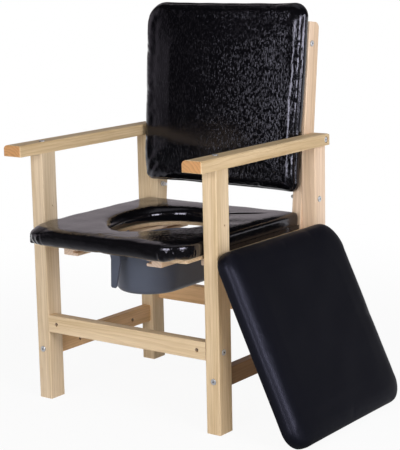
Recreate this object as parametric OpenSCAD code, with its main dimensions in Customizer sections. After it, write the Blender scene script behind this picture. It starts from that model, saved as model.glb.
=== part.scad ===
// Wooden commode chair with a slide-out pan, a padded seat and back, and a loose cover pad.
// Millimetres, +Z up. The origin is on the floor, in the middle of the four legs.
// The chair faces -Y, and X is across its width.

/* [Frame] */
// Width over the outer faces of the legs
chair_w = 575; // [540:1:640]
// Depth over the outer faces of the legs
chair_d = 482; // [450:1:540]
// Leg height, from the floor to the underside of the armrest
leg_h = 640; // [600:1:700]
// Leg size across the chair
leg_w = 40; // [34:1:48]
// Leg size from front to back
leg_d = 51; // [46:1:60]
// Eased edge of the legs and rails
ease_r = 2.5; // [1:0.5:4]

/* [Armrests] */
// Armrest width
arm_w = 56; // [50:1:70]
// Armrest thickness
arm_t = 29; // [25:1:36]
// How far an armrest reaches out in front of the front legs
arm_front = 78; // [40:1:110]
// How far an armrest stops short of the rear face of the rear legs
arm_back = 4; // [0:1:10]
// Round on the upper edge of an armrest on the sitter's left
arm_top_r = 6; // [3:0.5:10]
// Larger round on the upper edge of an armrest on the sitter's right
arm_round_r = 15; // [8:0.5:18]
// Round on the upright corners of an armrest
arm_corner_r = 3; // [2:0.5:6]
// Round over the upper rear end of an armrest
arm_end_r = 8; // [3:0.5:12]

/* [Rails] */
// Height of the front and side rails
rail_h = 45; // [35:1:55]
// Thickness of the front rail
front_rail_t = 28; // [26:1:34]
// Middle of the front rail above the floor
front_rail_z = 201.5; // [180:0.5:240]
// Thickness of a side rail
side_rail_t = 26; // [22:1:30]
// Middle of a side rail above the floor
side_rail_z = 133; // [110:1:140]
// How far the middle of a side rail lies outside the middle of its legs
side_rail_out = 2.5; // [0:0.5:4]
// Height of the rear rail
rear_rail_h = 50; // [40:1:60]
// Thickness of the rear rail
rear_rail_t = 22; // [20:1:28]
// Middle of the rear rail above the floor
rear_rail_z = 197; // [180:1:240]

/* [Back] */
// Backward lean of the back, in degrees
back_lean = 5.8; // [3:0.1:8]
// Width of an upright across the chair
upright_w = 28; // [24:1:34]
// Depth of an upright
upright_d = 46; // [38:1:50]
// Length of the back plane from the floor to the top of an upright
upright_top = 955; // [930:1:990]
// Round on the rear top corner of an upright
upright_round = 20; // [10:1:28]
// Distance at floor level from the rear face of the rear legs forward to the back plane
back_foot = 102.2; // [98:0.1:112]
// Thickness of the two cross rails behind the back cushion
back_rail_t = 26; // [24:1:32]
// Height of the two cross rails behind the back cushion
back_rail_h = 45; // [35:1:60]
// Height of the bolts of the upper cross rail
back_bolt_z = 894; // [860:1:910]
// Depth of the cross rail bolts behind the back plane
back_bolt_d = 14; // [13:0.5:16]
// Thickness of the plywood board behind the back cushion
back_board_t = 9; // [6:0.5:12]
// Lower end of the back cushion, along the back plane
back_pad_s0 = 521; // [500:1:560]
// Upper end of the back cushion, along the back plane
back_pad_s1 = 1001; // [980:1:1030]
// Thickness of the back cushion at its edge
back_edge_t = 34; // [28:1:42]
// Radius of the upper corners of the back cushion
back_corner_up = 45; // [30:1:60]
// Radius of the lower corners of the back cushion
back_corner_low = 24; // [18:1:50]
// How much further the middle of the back cushion swells forward
back_crown = 15; // [6:1:24]
// How far each side of the back cushion swells above the armrests
back_swell = 4.5; // [0:0.5:6]

/* [Seat] */
// Top of the seat cushion above the floor
seat_z = 470; // [450:1:500]
// Thickness of the seat cushion
seat_t = 38; // [32:1:46]
// How far the seat reaches out in front of the front legs
seat_front = 96; // [70:1:120]
// Corner radius at the front of the seat
seat_front_r = 71; // [50:1:90]
// Corner radius at the rear of the seat
seat_rear_r = 12; // [10:1:20]
// Thickness of the plywood seat board
seat_board_t = 8; // [6:0.5:12]
// How far the sides of the seat board lie inside the cushion
seat_board_in = 4; // [2:0.5:8]
// How far the front of the seat board lies behind the front of the cushion
seat_board_back = 35; // [28:1:45]
// Corner radius at the front of the seat board
seat_board_r = 8; // [4:1:20]
// How far the cushion's front rounds back underneath
seat_under_r = 26; // [12:1:30]
// Middle of the seat hole, behind the front face of the front legs
hole_back = 190; // [180:1:210]
// Half width of the seat hole at its narrowest level
hole_half = 122; // [110:1:130]
// Length of the seat hole forward of its middle
hole_fwd = 185; // [170:1:200]
// Length of the seat hole behind its middle
hole_rear = 139; // [125:1:150]
// Width of the soft roll at the side of the hole
roll_side = 29; // [20:1:34]
// Width of the soft roll at the front and rear of the hole
roll_end = 13; // [10:1:20]
// Height of the seat bearers
bearer_h = 20; // [18:1:28]
// Width of the seat bearers
bearer_w = 22.5; // [20:0.5:26]
// Front end of the seat bearers, behind the front face of the front legs
bearer_front = 22; // [18:1:26]

/* [Pan and its rails] */
// Half of the width between the pan rails
pan_rail_in = 108; // [107:0.5:112]
// Width of a pan rail
pan_rail_w = 44; // [38:1:50]
// Height of a pan rail
pan_rail_h = 20; // [18:1:24]
// Gap between a pan rail and the seat board, bridged by spacers
spacer_t = 4; // [2:0.5:6]
// Height of the groove in a pan rail
groove_h = 6.5; // [5:0.5:8]
// Depth of the groove in a pan rail
groove_d = 15; // [12:0.5:18]
// Wood under the groove
groove_floor = 6.5; // [5:0.5:8]
// Front end of the pan rails, in front of the front face of the front legs
pan_rail_front = 37; // [10:1:60]
// Rear end of the pan rails, ahead of the rear face of the rear legs
pan_rail_back = 64; // [62:1:90]
// Outer radius of the pan's ends, under its flange
pan_r = 103.4; // [98:0.1:104]
// Outer radius of the pan's ends at the floor of the pan
pan_foot_r = 85; // [75:1:95]
// Height of the pan below its flange
pan_h = 103.5; // [80:0.5:120]
// Length between the two end circles of the pan
pan_mid = 118; // [90:1:130]
// Middle of the front end circle, behind the front face of the front legs
pan_front = 112.5; // [105:0.5:118]
// Wall of the pan
pan_wall = 3; // [2:0.5:4]
// Outer radius of the flange that slides in the rails
flange_r = 120.5; // [118:0.5:121]
// Thickness of the flange
flange_t = 3.5; // [2.5:0.5:4]
// Height of the pan's lip above the flange
lip_h = 6; // [4:0.5:8]
// Round at the foot of the pan
pan_fillet = 16; // [8:1:20]
// How far the grip reaches out in front of the flange
grip_out = 25; // [20:1:34]
// Height of the grip's root
grip_root_h = 17; // [14:1:18]
// Lower end of the grip, below the flange
grip_drop = 74.5; // [60:0.5:84]
// Thickness of the grip's tongue
grip_t = 5; // [4:0.5:7]
// Half width of the grip at the top
grip_top = 14; // [12:0.5:18]
// Half width of the grip at the lower end
grip_end = 8; // [6:0.5:11]

/* [Cover pad] */
// Width of the cover pad
cover_w = 494; // [440:1:500]
// Length of the cover pad
cover_l = 485; // [460:1:520]
// Thickness of the cover pad at its edge
cover_edge_t = 43; // [32:1:48]
// How much further the middle of the cover pad swells
cover_crown = 6; // [3:1:16]
// Corner radius of the cover pad
cover_corner = 50; // [35:1:60]
// Thickness of the plywood board in the cover pad
cover_board_t = 9; // [6:0.5:12]
// How far the vinyl hems cover the rim round a cushion board
board_in = 14; // [10:1:20]
// Lean of the cover pad against the chair, in degrees
cover_tilt = 25.1; // [20:0.1:30]
// Middle of the cover pad, ahead of the middle of the chair
cover_fwd = 17.8; // [0:0.1:40]

/* [Fasteners] */
// Shank of the furniture bolts
bolt_d = 6; // [5:0.5:7]
// Head of the furniture bolts
head_d = 15; // [12:0.5:17]
// Thickness of the bolt heads
head_t = 2.2; // [1.5:0.1:3]
// Barrel nut diameter
nut_d = 10; // [9:0.5:12]
// Barrel nut length
nut_l = 14; // [12:0.5:15]
// Distance of the short bolts' nuts inside the rail ends
nut_set = 25.5; // [20:0.5:30]
// Distance of the long bolts' nuts inside the side rail ends
side_nut_set = 80; // [60:1:100]
// Length of an insert nut
insert_l = 13; // [10:0.5:15]
// Height of the long bolts of the side rails, below the middle of the rail
side_bolt_low = 2; // [0:0.5:5]
// Bolt through a front leg and into the front rail, behind the front face
front_bolt_in = 18; // [16:0.5:19]
// Bolt of a seat bearer, behind the front face of the front legs
bearer_bolt_in = 36; // [32:0.5:38]
// Bolts of the uprights and bearers, ahead of the rear face of the rear legs
rear_bolt_in = 30; // [28:0.5:32]
// Height of the lower bolt of an upright
upright_bolt_z = 502; // [490:1:520]
// Bolt down through an armrest, behind the front face of the front legs
arm_bolt_in = 16; // [15:0.5:24]
// The same bolt, beside the middle of the leg towards the sitter's left, on both armrests
arm_bolt_side = 8; // [0:0.5:8]
// Depth of the counterbore for the rear bolt of an armrest
arm_sink = 3; // [2.5:0.5:12]
// Front screw of a seat bearer, behind the front leg
seat_screw_front = 55; // [40:1:80]
// Rear screw of a seat bearer, ahead of the rear leg
seat_screw_rear = 75; // [60:1:100]
// End screws of a pan rail, inside its ends
pan_screw_in = 25; // [15:1:40]
// Screws of the back cross rails, out from the middle
back_screw_x = 120; // [80:1:160]
// Wood screw shank
screw_d = 4; // [3:0.5:4.5]
// Wood screw head
screw_head_d = 8; // [7:0.5:9]
// Spacer diameter under the seat board
spacer_d = 15; // [12:0.5:16]
// Cap nut diameter
cap_d = 13; // [11:0.5:14]
// Cap nut length
cap_l = 16; // [12:0.5:20]
// Small hole through each front leg, above the seat
peg_hole_d = 5; // [4:0.5:6]
// Height of the small hole above the floor
peg_hole_z = 503.5; // [495:0.5:520]
// Small hole, behind the front face of the front legs
peg_hole_in = 31.5; // [28:0.5:34]

/* [Clearances] */
// Radial clearance round bolts, nuts and screws
bolt_gap = 0.1; // [0.05:0.05:0.2]
// Clearance between soft pieces and what they rest against
soft_gap = 0.3; // [0.3:0.05:0.5]
// Running clearance under and over the parts that clip or slide
slide_gap = 0.05; // [0.03:0.01:0.1]

/* [Hidden] */
$fn = 48;
front_y = -chair_d / 2;
rear_y = chair_d / 2;
out_x = chair_w / 2;
in_x = chair_w / 2 - leg_w;
leg_x = chair_w / 2 - leg_w / 2;
arm_top = leg_h + arm_t;
arm_mid = leg_h + arm_t / 2;
side_x = leg_x + side_rail_out;
side_bolt_z = side_rail_z - side_bolt_low;
back_y0 = rear_y - back_foot;
up_in = in_x - upright_w;
rear_bolt_y = rear_y - rear_bolt_in;
rear_nut_in = rear_rail_t / 2;
pad_under = seat_z - seat_t;
board_under = pad_under - seat_board_t;
bearer_z = board_under - bearer_h;
bearer_mid = board_under - bearer_h / 2;
pad_x = in_x - soft_gap - 0.1;
pad_y0 = front_y - seat_front;
pad_y1 = back_y0 + pad_under * tan(back_lean) - soft_gap;
hole_y = front_y + hole_back;
rail_top = board_under - spacer_t;
rail_under = rail_top - pan_rail_h;
groove_z = rail_under + groove_floor;
flange_z = groove_z + slide_gap;
flange_top = flange_z + flange_t;
pan_z = flange_z - pan_h;
pan_y = front_y + pan_front;
pan_rail_y0 = front_y - pan_rail_front;
pan_rail_y1 = rear_y - pan_rail_back;
pan_screw_x = pan_rail_in + (groove_d + pan_rail_w) / 2;
lip_r = pan_r + 3;
grip_y = pan_y - flange_r;
arm_s = (arm_mid + back_bolt_d * sin(back_lean)) / cos(back_lean);
top_s = (back_bolt_z + back_bolt_d * sin(back_lean)) / cos(back_lean);
shank_r = bolt_d / 2;
hole_r = shank_r + bolt_gap;
head_hole_r = head_d / 2 + 0.5;
screw_r = screw_d / 2;
screw_hole_r = screw_r + bolt_gap;
swell_from = (arm_top + 7) / cos(back_lean);
cushion_round = 12;
hem_rows = [[9, soft_gap], [3.5, soft_gap + 2], [0.8, soft_gap + 6], [0, soft_gap + cushion_round]];
cover_foot_x = out_x + soft_gap + cover_l * sin(cover_tilt)
  - min([for (row = hem_rows) row[0] * sin(cover_tilt) + row[1] * cos(cover_tilt)]);
cover_foot_z = soft_gap - min([for (row = hem_rows) row[0] * cos(cover_tilt) + row[1] * sin(cover_tilt)]);
wood = [0.86, 0.66, 0.40];
ply = [0.80, 0.68, 0.50];
vinyl = [0.08, 0.07, 0.08];
plastic = [0.45, 0.46, 0.48];
steel = [0.75, 0.76, 0.78];

// Helpers: bars, placing and the back's own frame

module on_side(s) {
  mirror([s < 0 ? 1 : 0, 0, 0]) children();
}

module both_sides() {
  on_side(1) children();
  on_side(-1) children();
}

module eased(a, b, r) {
  square([a - 2 * r, b], center = true);
  square([a, b - 2 * r], center = true);
  for (x = [-1, 1], y = [-1, 1]) {
    translate([x * (a / 2 - r), y * (b / 2 - r)]) circle(r = r);
  }
}

module bar_z(a, b, l) {
  linear_extrude(height = l) eased(a, b, ease_r);
}

module bar_x(b, h, l) {
  rotate([90, 0, 90]) translate([0, 0, -l / 2]) linear_extrude(height = l) eased(b, h, ease_r);
}

module bar_y(a, h, l) {
  rotate([90, 0, 0]) translate([0, 0, -l / 2]) linear_extrude(height = l) eased(a, h, ease_r);
}

// The back plane leans about the X axis. In this frame z runs up the plane and y goes behind it
module back_frame() {
  translate([0, back_y0, 0]) rotate([-back_lean, 0, 0]) children();
}

// Directions a bolt can point: inward from the right, from the front, from the rear, down
module aim_in() {
  rotate([0, -90, 0]) children();
}

module aim_back() {
  rotate([-90, 0, 0]) children();
}

module aim_front() {
  rotate([90, 0, 0]) children();
}

// Places shared by the wood and its fasteners, for the right side
module at_front_rail_bolt() {
  translate([out_x, front_y + front_bolt_in, front_rail_z]) aim_in() children();
}

module at_rear_rail_bolt() {
  translate([out_x, rear_y - rear_nut_in, rear_rail_z]) aim_in() children();
}

module at_side_bolt_front() {
  translate([side_x, front_y, side_bolt_z]) aim_back() children();
}

module at_side_bolt_rear() {
  translate([side_x, rear_y, side_bolt_z]) aim_front() children();
}

module at_bearer_bolt(y) {
  translate([out_x, y, bearer_mid]) aim_in() children();
}

module at_upright_bolt() {
  translate([out_x, rear_bolt_y, upright_bolt_z]) aim_in() children();
}

module at_arm_front_bolt(s) {
  translate([leg_x + s * arm_bolt_side, front_y + arm_bolt_in, arm_top]) rotate([180, 0, 0]) children();
}

module at_arm_rear_bolt() {
  back_frame() translate([in_x + arm_w - arm_sink, back_bolt_d, arm_s]) aim_in() children();
}

module at_back_rail_bolt() {
  back_frame() translate([in_x, back_bolt_d, top_s]) aim_in() children();
}

// Fasteners, each along +Z from the underside of its head

module bolt(l) {
  difference() {
    union() {
      cylinder(r = shank_r, h = l);
      translate([0, 0, -head_t * 0.65]) cylinder(d = head_d, h = head_t * 0.65);
      translate([0, 0, -head_t]) cylinder(d1 = head_d - 2, d2 = head_d, h = head_t * 0.35);
    }
    translate([0, 0, -head_t - 1]) cylinder(d = bolt_d * 0.75, h = head_t + 0.4, $fn = 6);
  }
}

module bolt_hole(l) {
  translate([0, 0, -1]) cylinder(r = hole_r, h = l + 1);
}

module barrel_nut() {
  difference() {
    translate([0, 0, -nut_l / 2]) cylinder(d = nut_d, h = nut_l);
    rotate([0, 90, 0]) translate([0, 0, -nut_d]) cylinder(r = hole_r, h = 2 * nut_d);
    translate([-nut_d, -0.6, nut_l / 2 - 1.2]) cube([2 * nut_d, 1.2, 3]);
  }
}

module barrel_hole(l) {
  translate([0, 0, -nut_l / 2 - bolt_gap]) cylinder(r = nut_d / 2 + bolt_gap, h = l);
}

module insert_nut() {
  difference() {
    cylinder(d = nut_d, h = insert_l);
    translate([0, 0, -1]) cylinder(r = hole_r, h = insert_l + 2);
  }
}

module insert_hole() {
  translate([0, 0, -1]) cylinder(r = nut_d / 2 + bolt_gap, h = insert_l + 1);
}

module screw(l) {
  difference() {
    union() {
      cylinder(d1 = screw_head_d, d2 = screw_d, h = screw_head_d / 3);
      cylinder(r = screw_r, h = l - screw_d);
      translate([0, 0, l - screw_d]) cylinder(r1 = screw_r, r2 = 0.4, h = screw_d);
    }
    for (a = [0, 90]) {
      rotate([0, 0, a]) translate([-screw_d * 0.6, -0.4, -1]) cube([screw_d * 1.2, 0.8, 2]);
    }
  }
}

module screw_hole(l) {
  cylinder(d1 = screw_head_d + 4 * bolt_gap, d2 = screw_d + 4 * bolt_gap, h = screw_head_d / 3);
  translate([0, 0, -1]) cylinder(r = screw_hole_r, h = l + 1);
}

// Legs

module leg() {
  linear_extrude(height = leg_h) eased(leg_w, leg_d, ease_r);
}

module front_leg(s) {
  color(wood) on_side(s) difference() {
    translate([leg_x, front_y + leg_d / 2, 0]) leg();
    at_front_rail_bolt() bolt_hole(leg_w + 1);
    at_side_bolt_front() bolt_hole(leg_d + 1);
    at_bearer_bolt(front_y + bearer_bolt_in) bolt_hole(leg_w + 1);
    at_arm_front_bolt(s) bolt_hole(arm_t + insert_l + 6);
    translate([leg_x + s * arm_bolt_side, front_y + arm_bolt_in, leg_h]) rotate([180, 0, 0]) insert_hole();
    translate([in_x - 1, front_y + peg_hole_in, peg_hole_z]) rotate([0, 90, 0]) {
      cylinder(d = peg_hole_d, h = leg_w + 2);
    }
  }
}

module rear_leg(s) {
  color(wood) on_side(s) difference() {
    translate([leg_x, rear_y - leg_d / 2, 0]) leg();
    at_rear_rail_bolt() bolt_hole(leg_w + 1);
    at_side_bolt_rear() bolt_hole(leg_d + 1);
    at_bearer_bolt(rear_bolt_y) bolt_hole(leg_w + 1);
    at_upright_bolt() bolt_hole(leg_w + 1);
  }
}

module leg_front_left() { front_leg(-1); }
module leg_front_right() { front_leg(1); }
module leg_rear_left() { rear_leg(-1); }
module leg_rear_right() { rear_leg(1); }

// Armrests: the same bar cut by three profiles

module armrest(s) {
  arm_l = chair_d - arm_back + arm_front;
  arm_y = (rear_y - arm_back + front_y - arm_front) / 2;
  color(wood) on_side(s) difference() {
    translate([in_x + arm_w / 2, arm_y, 0]) intersection() {
      translate([0, 0, leg_h]) linear_extrude(height = arm_t) eased(arm_w, arm_l, arm_corner_r);
      rotate([90, 0, 0]) translate([0, 0, -arm_l]) linear_extrude(height = 2 * arm_l) arm_section(s);
      rotate([90, 0, 90]) translate([0, 0, -arm_w]) linear_extrude(height = 2 * arm_w) arm_side(arm_l);
    }
    at_arm_front_bolt(s) bolt_hole(arm_t + 1);
    at_arm_rear_bolt() {
      bolt_hole(arm_w);
      translate([0, 0, -arm_sink - 1]) cylinder(r = head_hole_r, h = arm_sink + 1);
    }
  }
}

module arm_side(l) {
  r = arm_end_r;
  difference() {
    translate([0, arm_mid]) eased(l, arm_t, ease_r);
    translate([l / 2 - r, arm_top - r]) square([r + 1, r + 1]);
  }
  translate([l / 2 - r, arm_top - r]) circle(r = r);
}

// Both armrests are cut from the same bar, so the larger round is on the sitter's right on both
module arm_section(s) {
  translate([0, leg_h]) mirror([s < 0 ? 1 : 0, 0]) {
    translate([-arm_w / 2, 0]) square([arm_w / 2 + 1, arm_t - arm_round_r]);
    square([arm_w / 2, arm_t - arm_top_r]);
    translate([-arm_w / 2 + arm_round_r, 0]) square([arm_w - arm_round_r - arm_top_r, arm_t]);
    translate([-arm_w / 2 + arm_round_r, arm_t - arm_round_r]) circle(r = arm_round_r, $fn = 96);
    translate([arm_w / 2 - arm_top_r, arm_t - arm_top_r]) circle(r = arm_top_r);
  }
}

module armrest_left() { armrest(-1); }
module armrest_right() { armrest(1); }

// Rails between the legs

module front_rail() {
  color(wood) difference() {
    translate([0, front_y + front_rail_t / 2, front_rail_z]) bar_x(front_rail_t, rail_h, 2 * in_x);
    both_sides() {
      at_front_rail_bolt() bolt_hole(leg_w + nut_set + 12);
      translate([in_x - nut_set, front_y + front_bolt_in, front_rail_z]) aim_front() barrel_hole(front_rail_t * 2);
    }
  }
}

module rear_rail() {
  color(wood) difference() {
    translate([0, rear_y - rear_rail_t / 2, rear_rail_z]) bar_x(rear_rail_t, rear_rail_h, 2 * in_x);
    both_sides() {
      at_rear_rail_bolt() bolt_hole(leg_w + nut_set + 12);
      translate([in_x - nut_set, rear_y - rear_nut_in, rear_rail_z]) aim_back() barrel_hole(rear_rail_t * 2);
    }
  }
}

module side_rail(s) {
  color(wood) on_side(s) difference() {
    translate([side_x, 0, side_rail_z]) bar_y(side_rail_t, rail_h, chair_d - 2 * leg_d);
    at_side_bolt_front() bolt_hole(leg_d + side_nut_set + 12);
    at_side_bolt_rear() bolt_hole(leg_d + side_nut_set + 12);
    for (y = [front_y + leg_d + side_nut_set, rear_y - leg_d - side_nut_set]) {
      translate([side_x, y, side_bolt_z]) aim_in() barrel_hole(side_rail_t * 2);
    }
  }
}

module side_rail_left() { side_rail(-1); }
module side_rail_right() { side_rail(1); }

// Back uprights and the cross rails between them

module upright_side() {
  top = upright_top;
  r = upright_round;
  difference() {
    square([upright_d, top]);
    translate([upright_d - r, top - r]) square([r + 1, r + 1]);
  }
  translate([upright_d - r, top - r]) circle(r = r, $fn = 96);
}

module upright(s) {
  color(wood) on_side(s) difference() {
    back_frame() intersection() {
      translate([in_x - upright_w / 2, upright_d / 2, 0]) bar_z(upright_w, upright_d, upright_top);
      rotate([90, 0, 90]) linear_extrude(height = in_x + 10) upright_side();
    }
    translate([up_in - 10, front_y, -50]) cube([upright_w + 20, chair_d * 2, board_under + 50]);
    at_upright_bolt() bolt_hole(leg_w + upright_w + 1);
    at_arm_rear_bolt() bolt_hole(arm_w + upright_w + 1);
    at_back_rail_bolt() bolt_hole(upright_w + 1);
  }
}

module upright_left() { upright(-1); }
module upright_right() { upright(1); }

module at_back_nut(s_mid) {
  back_frame() translate([up_in - nut_set, back_bolt_d, s_mid]) aim_back() children();
}

module at_back_screw(s_mid) {
  back_frame() translate([back_screw_x, back_rail_t, s_mid]) aim_front() children();
}

module back_rail(s_mid) {
  color(wood) difference() {
    back_frame() translate([0, back_rail_t / 2, s_mid]) bar_x(back_rail_t, back_rail_h, 2 * up_in);
    both_sides() {
      back_frame() translate([in_x, back_bolt_d, s_mid]) aim_in() bolt_hole(upright_w + nut_set + 12);
      at_back_nut(s_mid) barrel_hole(back_rail_t * 2);
      at_back_screw(s_mid) screw_hole(back_rail_t + back_board_t);
    }
  }
}

module back_rail_lower() { back_rail(arm_s); }
module back_rail_upper() { back_rail(top_s); }

// Cushions with a board at the back: rings of points run from the board recess, over the hem
// and the side, up to the crown. The ring lies flat, x across, y along, z through the cushion

function corner_k(j) = [j < 2 ? 1 : -1, (j == 1 || j == 2) ? 1 : -1];

function arc_point(j, a, x1, y0, y1, rf, rb) =
  let (k = corner_k(j), r = k[1] < 0 ? rf : rb)
  [k[0] * (x1 - r) + r * cos(a), (k[1] < 0 ? y0 + r : y1 - r) + r * sin(a)];

function outline(x1, y0, y1, rf, rb, na, ns) = [
  for (j = [0:3])
    for (t = [0:na + ns - 1])
      let (
        p = arc_point(j, -90 + 90 * j + 90 * min(t, na) / na, x1, y0, y1, rf, rb),
        q = arc_point((j + 1) % 4, 90 * j, x1, y0, y1, rf, rb),
        f = max(0, t - na) / ns
      )
      p * (1 - f) + q * f
];

function cushion_r(r, d, half) = r * (1 - d / half);

function swell_at(x, y, k) = k == 0 || y < swell_from ? x
  : x + sign(x) * k * sin(min(180, 180 * (y - swell_from) / 440)) * min(1, abs(x) / 200);

function cushion_ring(w, y0, y1, low, up, d, z, k) = [
  for (p = outline(w / 2 - d, y0 + d, y1 - d, cushion_r(low, d, w / 2), cushion_r(up, d, w / 2), 9, 7))
    [swell_at(p[0], p[1], k), p[1], z]
];

function ring_faces(n, m) = concat(
  [for (i = [0:m - 2], k = [0:n - 1]) [i * n + k, (i + 1) * n + (k + 1) % n, i * n + (k + 1) % n]],
  [for (i = [0:m - 2], k = [0:n - 1]) [i * n + k, (i + 1) * n + k, (i + 1) * n + (k + 1) % n]]
);

// Two middle points close the ends with fans
function cap_faces(n, m) = concat(
  [for (k = [0:n - 1]) [k, (k + 1) % n, m * n]],
  [for (k = [0:n - 1]) [(m - 1) * n + (k + 1) % n, (m - 1) * n + k, m * n + 1]]
);

// Each row is the inset from the outline and the height through the cushion
module cushion(w, y0, y1, low, up, edge_t, crown, board_t, k) {
  rim = board_in - soft_gap;
  rows = concat([[rim, board_t + soft_gap], [rim, soft_gap]], hem_rows, [
    [0, edge_t - cushion_round], [1.2, edge_t - 6.5], [4.5, edge_t - 2.2], [10, edge_t],
    [24, edge_t + crown * 0.35], [52, edge_t + crown * 0.66], [100, edge_t + crown * 0.92],
    [170, edge_t + crown]
  ]);
  n = 64;
  m = len(rows);
  mid = (y0 + y1) / 2;
  pts = concat(
    [for (row = rows) each cushion_ring(w, y0, y1, low, up, row[0], row[1], k)],
    [[0, mid, rows[0][1]], [0, mid, rows[m - 1][1]]]
  );
  polyhedron(points = pts, faces = concat(ring_faces(n, m), cap_faces(n, m)), convexity = 6);
}

// The plywood board lies in the recess, flush with the hem
module cushion_board(w, y0, y1, low, up, t) {
  d = board_in;
  linear_extrude(height = t) {
    two_rounds(w / 2 - d, y0 + d, y1 - d, cushion_r(low, d, w / 2), cushion_r(up, d, w / 2));
  }
}

// A rectangle with one corner radius at its lower end and another at its upper end
module two_rounds(x1, y0, y1, rf, rb) {
  translate([-x1 + rf, y0]) square([2 * (x1 - rf), y1 - y0 - rb]);
  translate([-x1, y0 + rf]) square([2 * x1, y1 - y0 - rf - rb]);
  translate([-x1 + rb, y0 + rf]) square([2 * (x1 - rb), y1 - y0 - rf]);
  for (s = [-1, 1]) {
    translate([s * (x1 - rf), y0 + rf]) circle(r = rf, $fn = 96);
    translate([s * (x1 - rb), y1 - rb]) circle(r = rb, $fn = 96);
  }
}

module back_pad() {
  color(vinyl) back_frame() rotate([90, 0, 0]) {
    cushion(2 * pad_x, back_pad_s0, back_pad_s1, back_corner_low, back_corner_up,
      back_edge_t, back_crown, back_board_t, back_swell);
  }
}

module back_board() {
  color(ply) difference() {
    back_frame() rotate([90, 0, 0]) {
      cushion_board(2 * pad_x, back_pad_s0, back_pad_s1, back_corner_low, back_corner_up, back_board_t);
    }
    both_sides() for (s = [arm_s, top_s]) {
      at_back_screw(s) screw_hole(back_rail_t + back_board_t - 2);
    }
  }
}

// Cover pad, leaning on the right side of the chair
module cover_frame() {
  translate([cover_foot_x, -cover_fwd, cover_foot_z]) rotate([0, -cover_tilt, 0]) rotate([90, 0, 90]) children();
}

module cover_pad() {
  color(vinyl) cover_frame() {
    cushion(cover_w, 0, cover_l, cover_corner, cover_corner, cover_edge_t, cover_crown, cover_board_t, 0);
  }
}

module cover_board() {
  color(ply) cover_frame() cushion_board(cover_w, 0, cover_l, cover_corner, cover_corner, cover_board_t);
}

// Seat

module seat_bearer(s) {
  y0 = front_y + bearer_front;
  y1 = rear_y - 12;
  color(wood) on_side(s) difference() {
    translate([in_x - bearer_w / 2, (y0 + y1) / 2, bearer_mid]) bar_y(bearer_w, bearer_h, y1 - y0);
    for (y = [front_y + bearer_bolt_in, rear_bolt_y]) {
      at_bearer_bolt(y) bolt_hole(leg_w + bearer_w);
      translate([in_x - bearer_w, y, bearer_mid]) rotate([0, 90, 0]) insert_hole();
    }
    for (y = seat_screw_y) {
      translate([in_x - bearer_w / 2, y, bearer_z]) screw_hole(bearer_h + 5);
    }
  }
}

seat_screw_y = [front_y + leg_d + seat_screw_front, rear_y - leg_d - seat_screw_rear];

module seat_bearer_left() { seat_bearer(-1); }
module seat_bearer_right() { seat_bearer(1); }

// The hole is an egg, narrow to the front. t is 0 on top of the roll and 1 at its narrowest level
function egg_r(a, t) =
  let (
    w = hole_half + roll_side * (1 - t),
    l = (sin(a) < 0 ? hole_fwd : hole_rear) + roll_end * (1 - t),
    p = sin(a) < 0 ? 1.7 : 2.2
  )
  pow(pow(abs(cos(a)) / w, p) + pow(abs(sin(a)) / l, p), -1 / p);

function egg_at(a, t) = [egg_r(a, t) * cos(a), hole_y + egg_r(a, t) * sin(a)];

module seat_board() {
  color(ply) difference() {
    translate([0, 0, board_under]) linear_extrude(height = seat_board_t) difference() {
      two_rounds(pad_x - seat_board_in, pad_y0 + seat_board_back, pad_y1 - seat_board_in,
        seat_board_r, seat_rear_r - seat_board_in);
      polygon([for (a = [0:5:355]) egg_at(a, 0.7)]);
    }
    both_sides() {
      for (y = seat_screw_y) {
        translate([in_x - bearer_w / 2, y, bearer_z]) screw_hole(bearer_h + seat_board_t - 2);
      }
      for (y = pan_screw_y) {
        translate([pan_screw_x, y, rail_under]) screw_hole(pan_rail_h + spacer_t + seat_board_t - 2);
      }
    }
  }
}

// The seat cushion is one closed ring: up the outer side, over the top, round the roll and back.
// Each row is the inset at the sides and at the front, the way to the hole, its level and the height
function seat_ring(d, df, f, t, z) =
  let (
    o = outline(pad_x - d, pad_y0 + df, pad_y1 - d, max(6, seat_front_r - d), max(4, seat_rear_r - d), 10, 9)
  )
  [for (p = o)
    let (a = atan2(p[1] - hole_y, p[0]), e = egg_at(a, t))
    [p[0] * (1 - f) + e[0] * f, p[1] * (1 - f) + e[1] * f, z]];

module seat_pad() {
  u = pad_under;
  roll = seat_t / 2;
  rows = [
    [5, seat_under_r, 0, 0, u], [1.5, seat_under_r * 0.5, 0, 0, u + 2.5],
    [0.4, seat_under_r * 0.2, 0, 0, u + 7.5], [0, seat_under_r * 0.03, 0, 0, u + 14],
    [0, 0, 0, 0, seat_z - 13], [2, 2.5, 0, 0, seat_z - 5.5],
    [8, 8, 0, 0, seat_z - 1.6], [16, 16, 0.14, 0, seat_z - 0.4], [16, 16, 0.6, 0, seat_z],
    [0, 0, 1, 0, seat_z], [0, 0, 1, 0.38, seat_z - roll * 0.08], [0, 0, 1, 0.71, seat_z - roll * 0.29],
    [0, 0, 1, 0.92, seat_z - roll * 0.62], [0, 0, 1, 1, seat_z - roll], [0, 0, 1, 0.9, u + roll * 0.35],
    [0, 0, 1, 0.7, u]
  ];
  n = 76;
  m = len(rows);
  pts = [for (row = rows) each seat_ring(row[0], row[1], row[2], row[3], row[4])];
  loop = [for (k = [0:n - 1]) [(m - 1) * n + k, (k + 1) % n, (m - 1) * n + (k + 1) % n]];
  loop2 = [for (k = [0:n - 1]) [(m - 1) * n + k, k, (k + 1) % n]];
  color(vinyl) polyhedron(points = pts, faces = concat(ring_faces(n, m), loop, loop2), convexity = 6);
}

// Pan rails, hung under the seat board on spacers, with the groove that carries the pan's flange

pan_screw_y = [
  pan_rail_y0 + pan_screw_in, (pan_rail_y0 + pan_rail_y1) / 2, pan_rail_y1 - pan_screw_in
];

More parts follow.
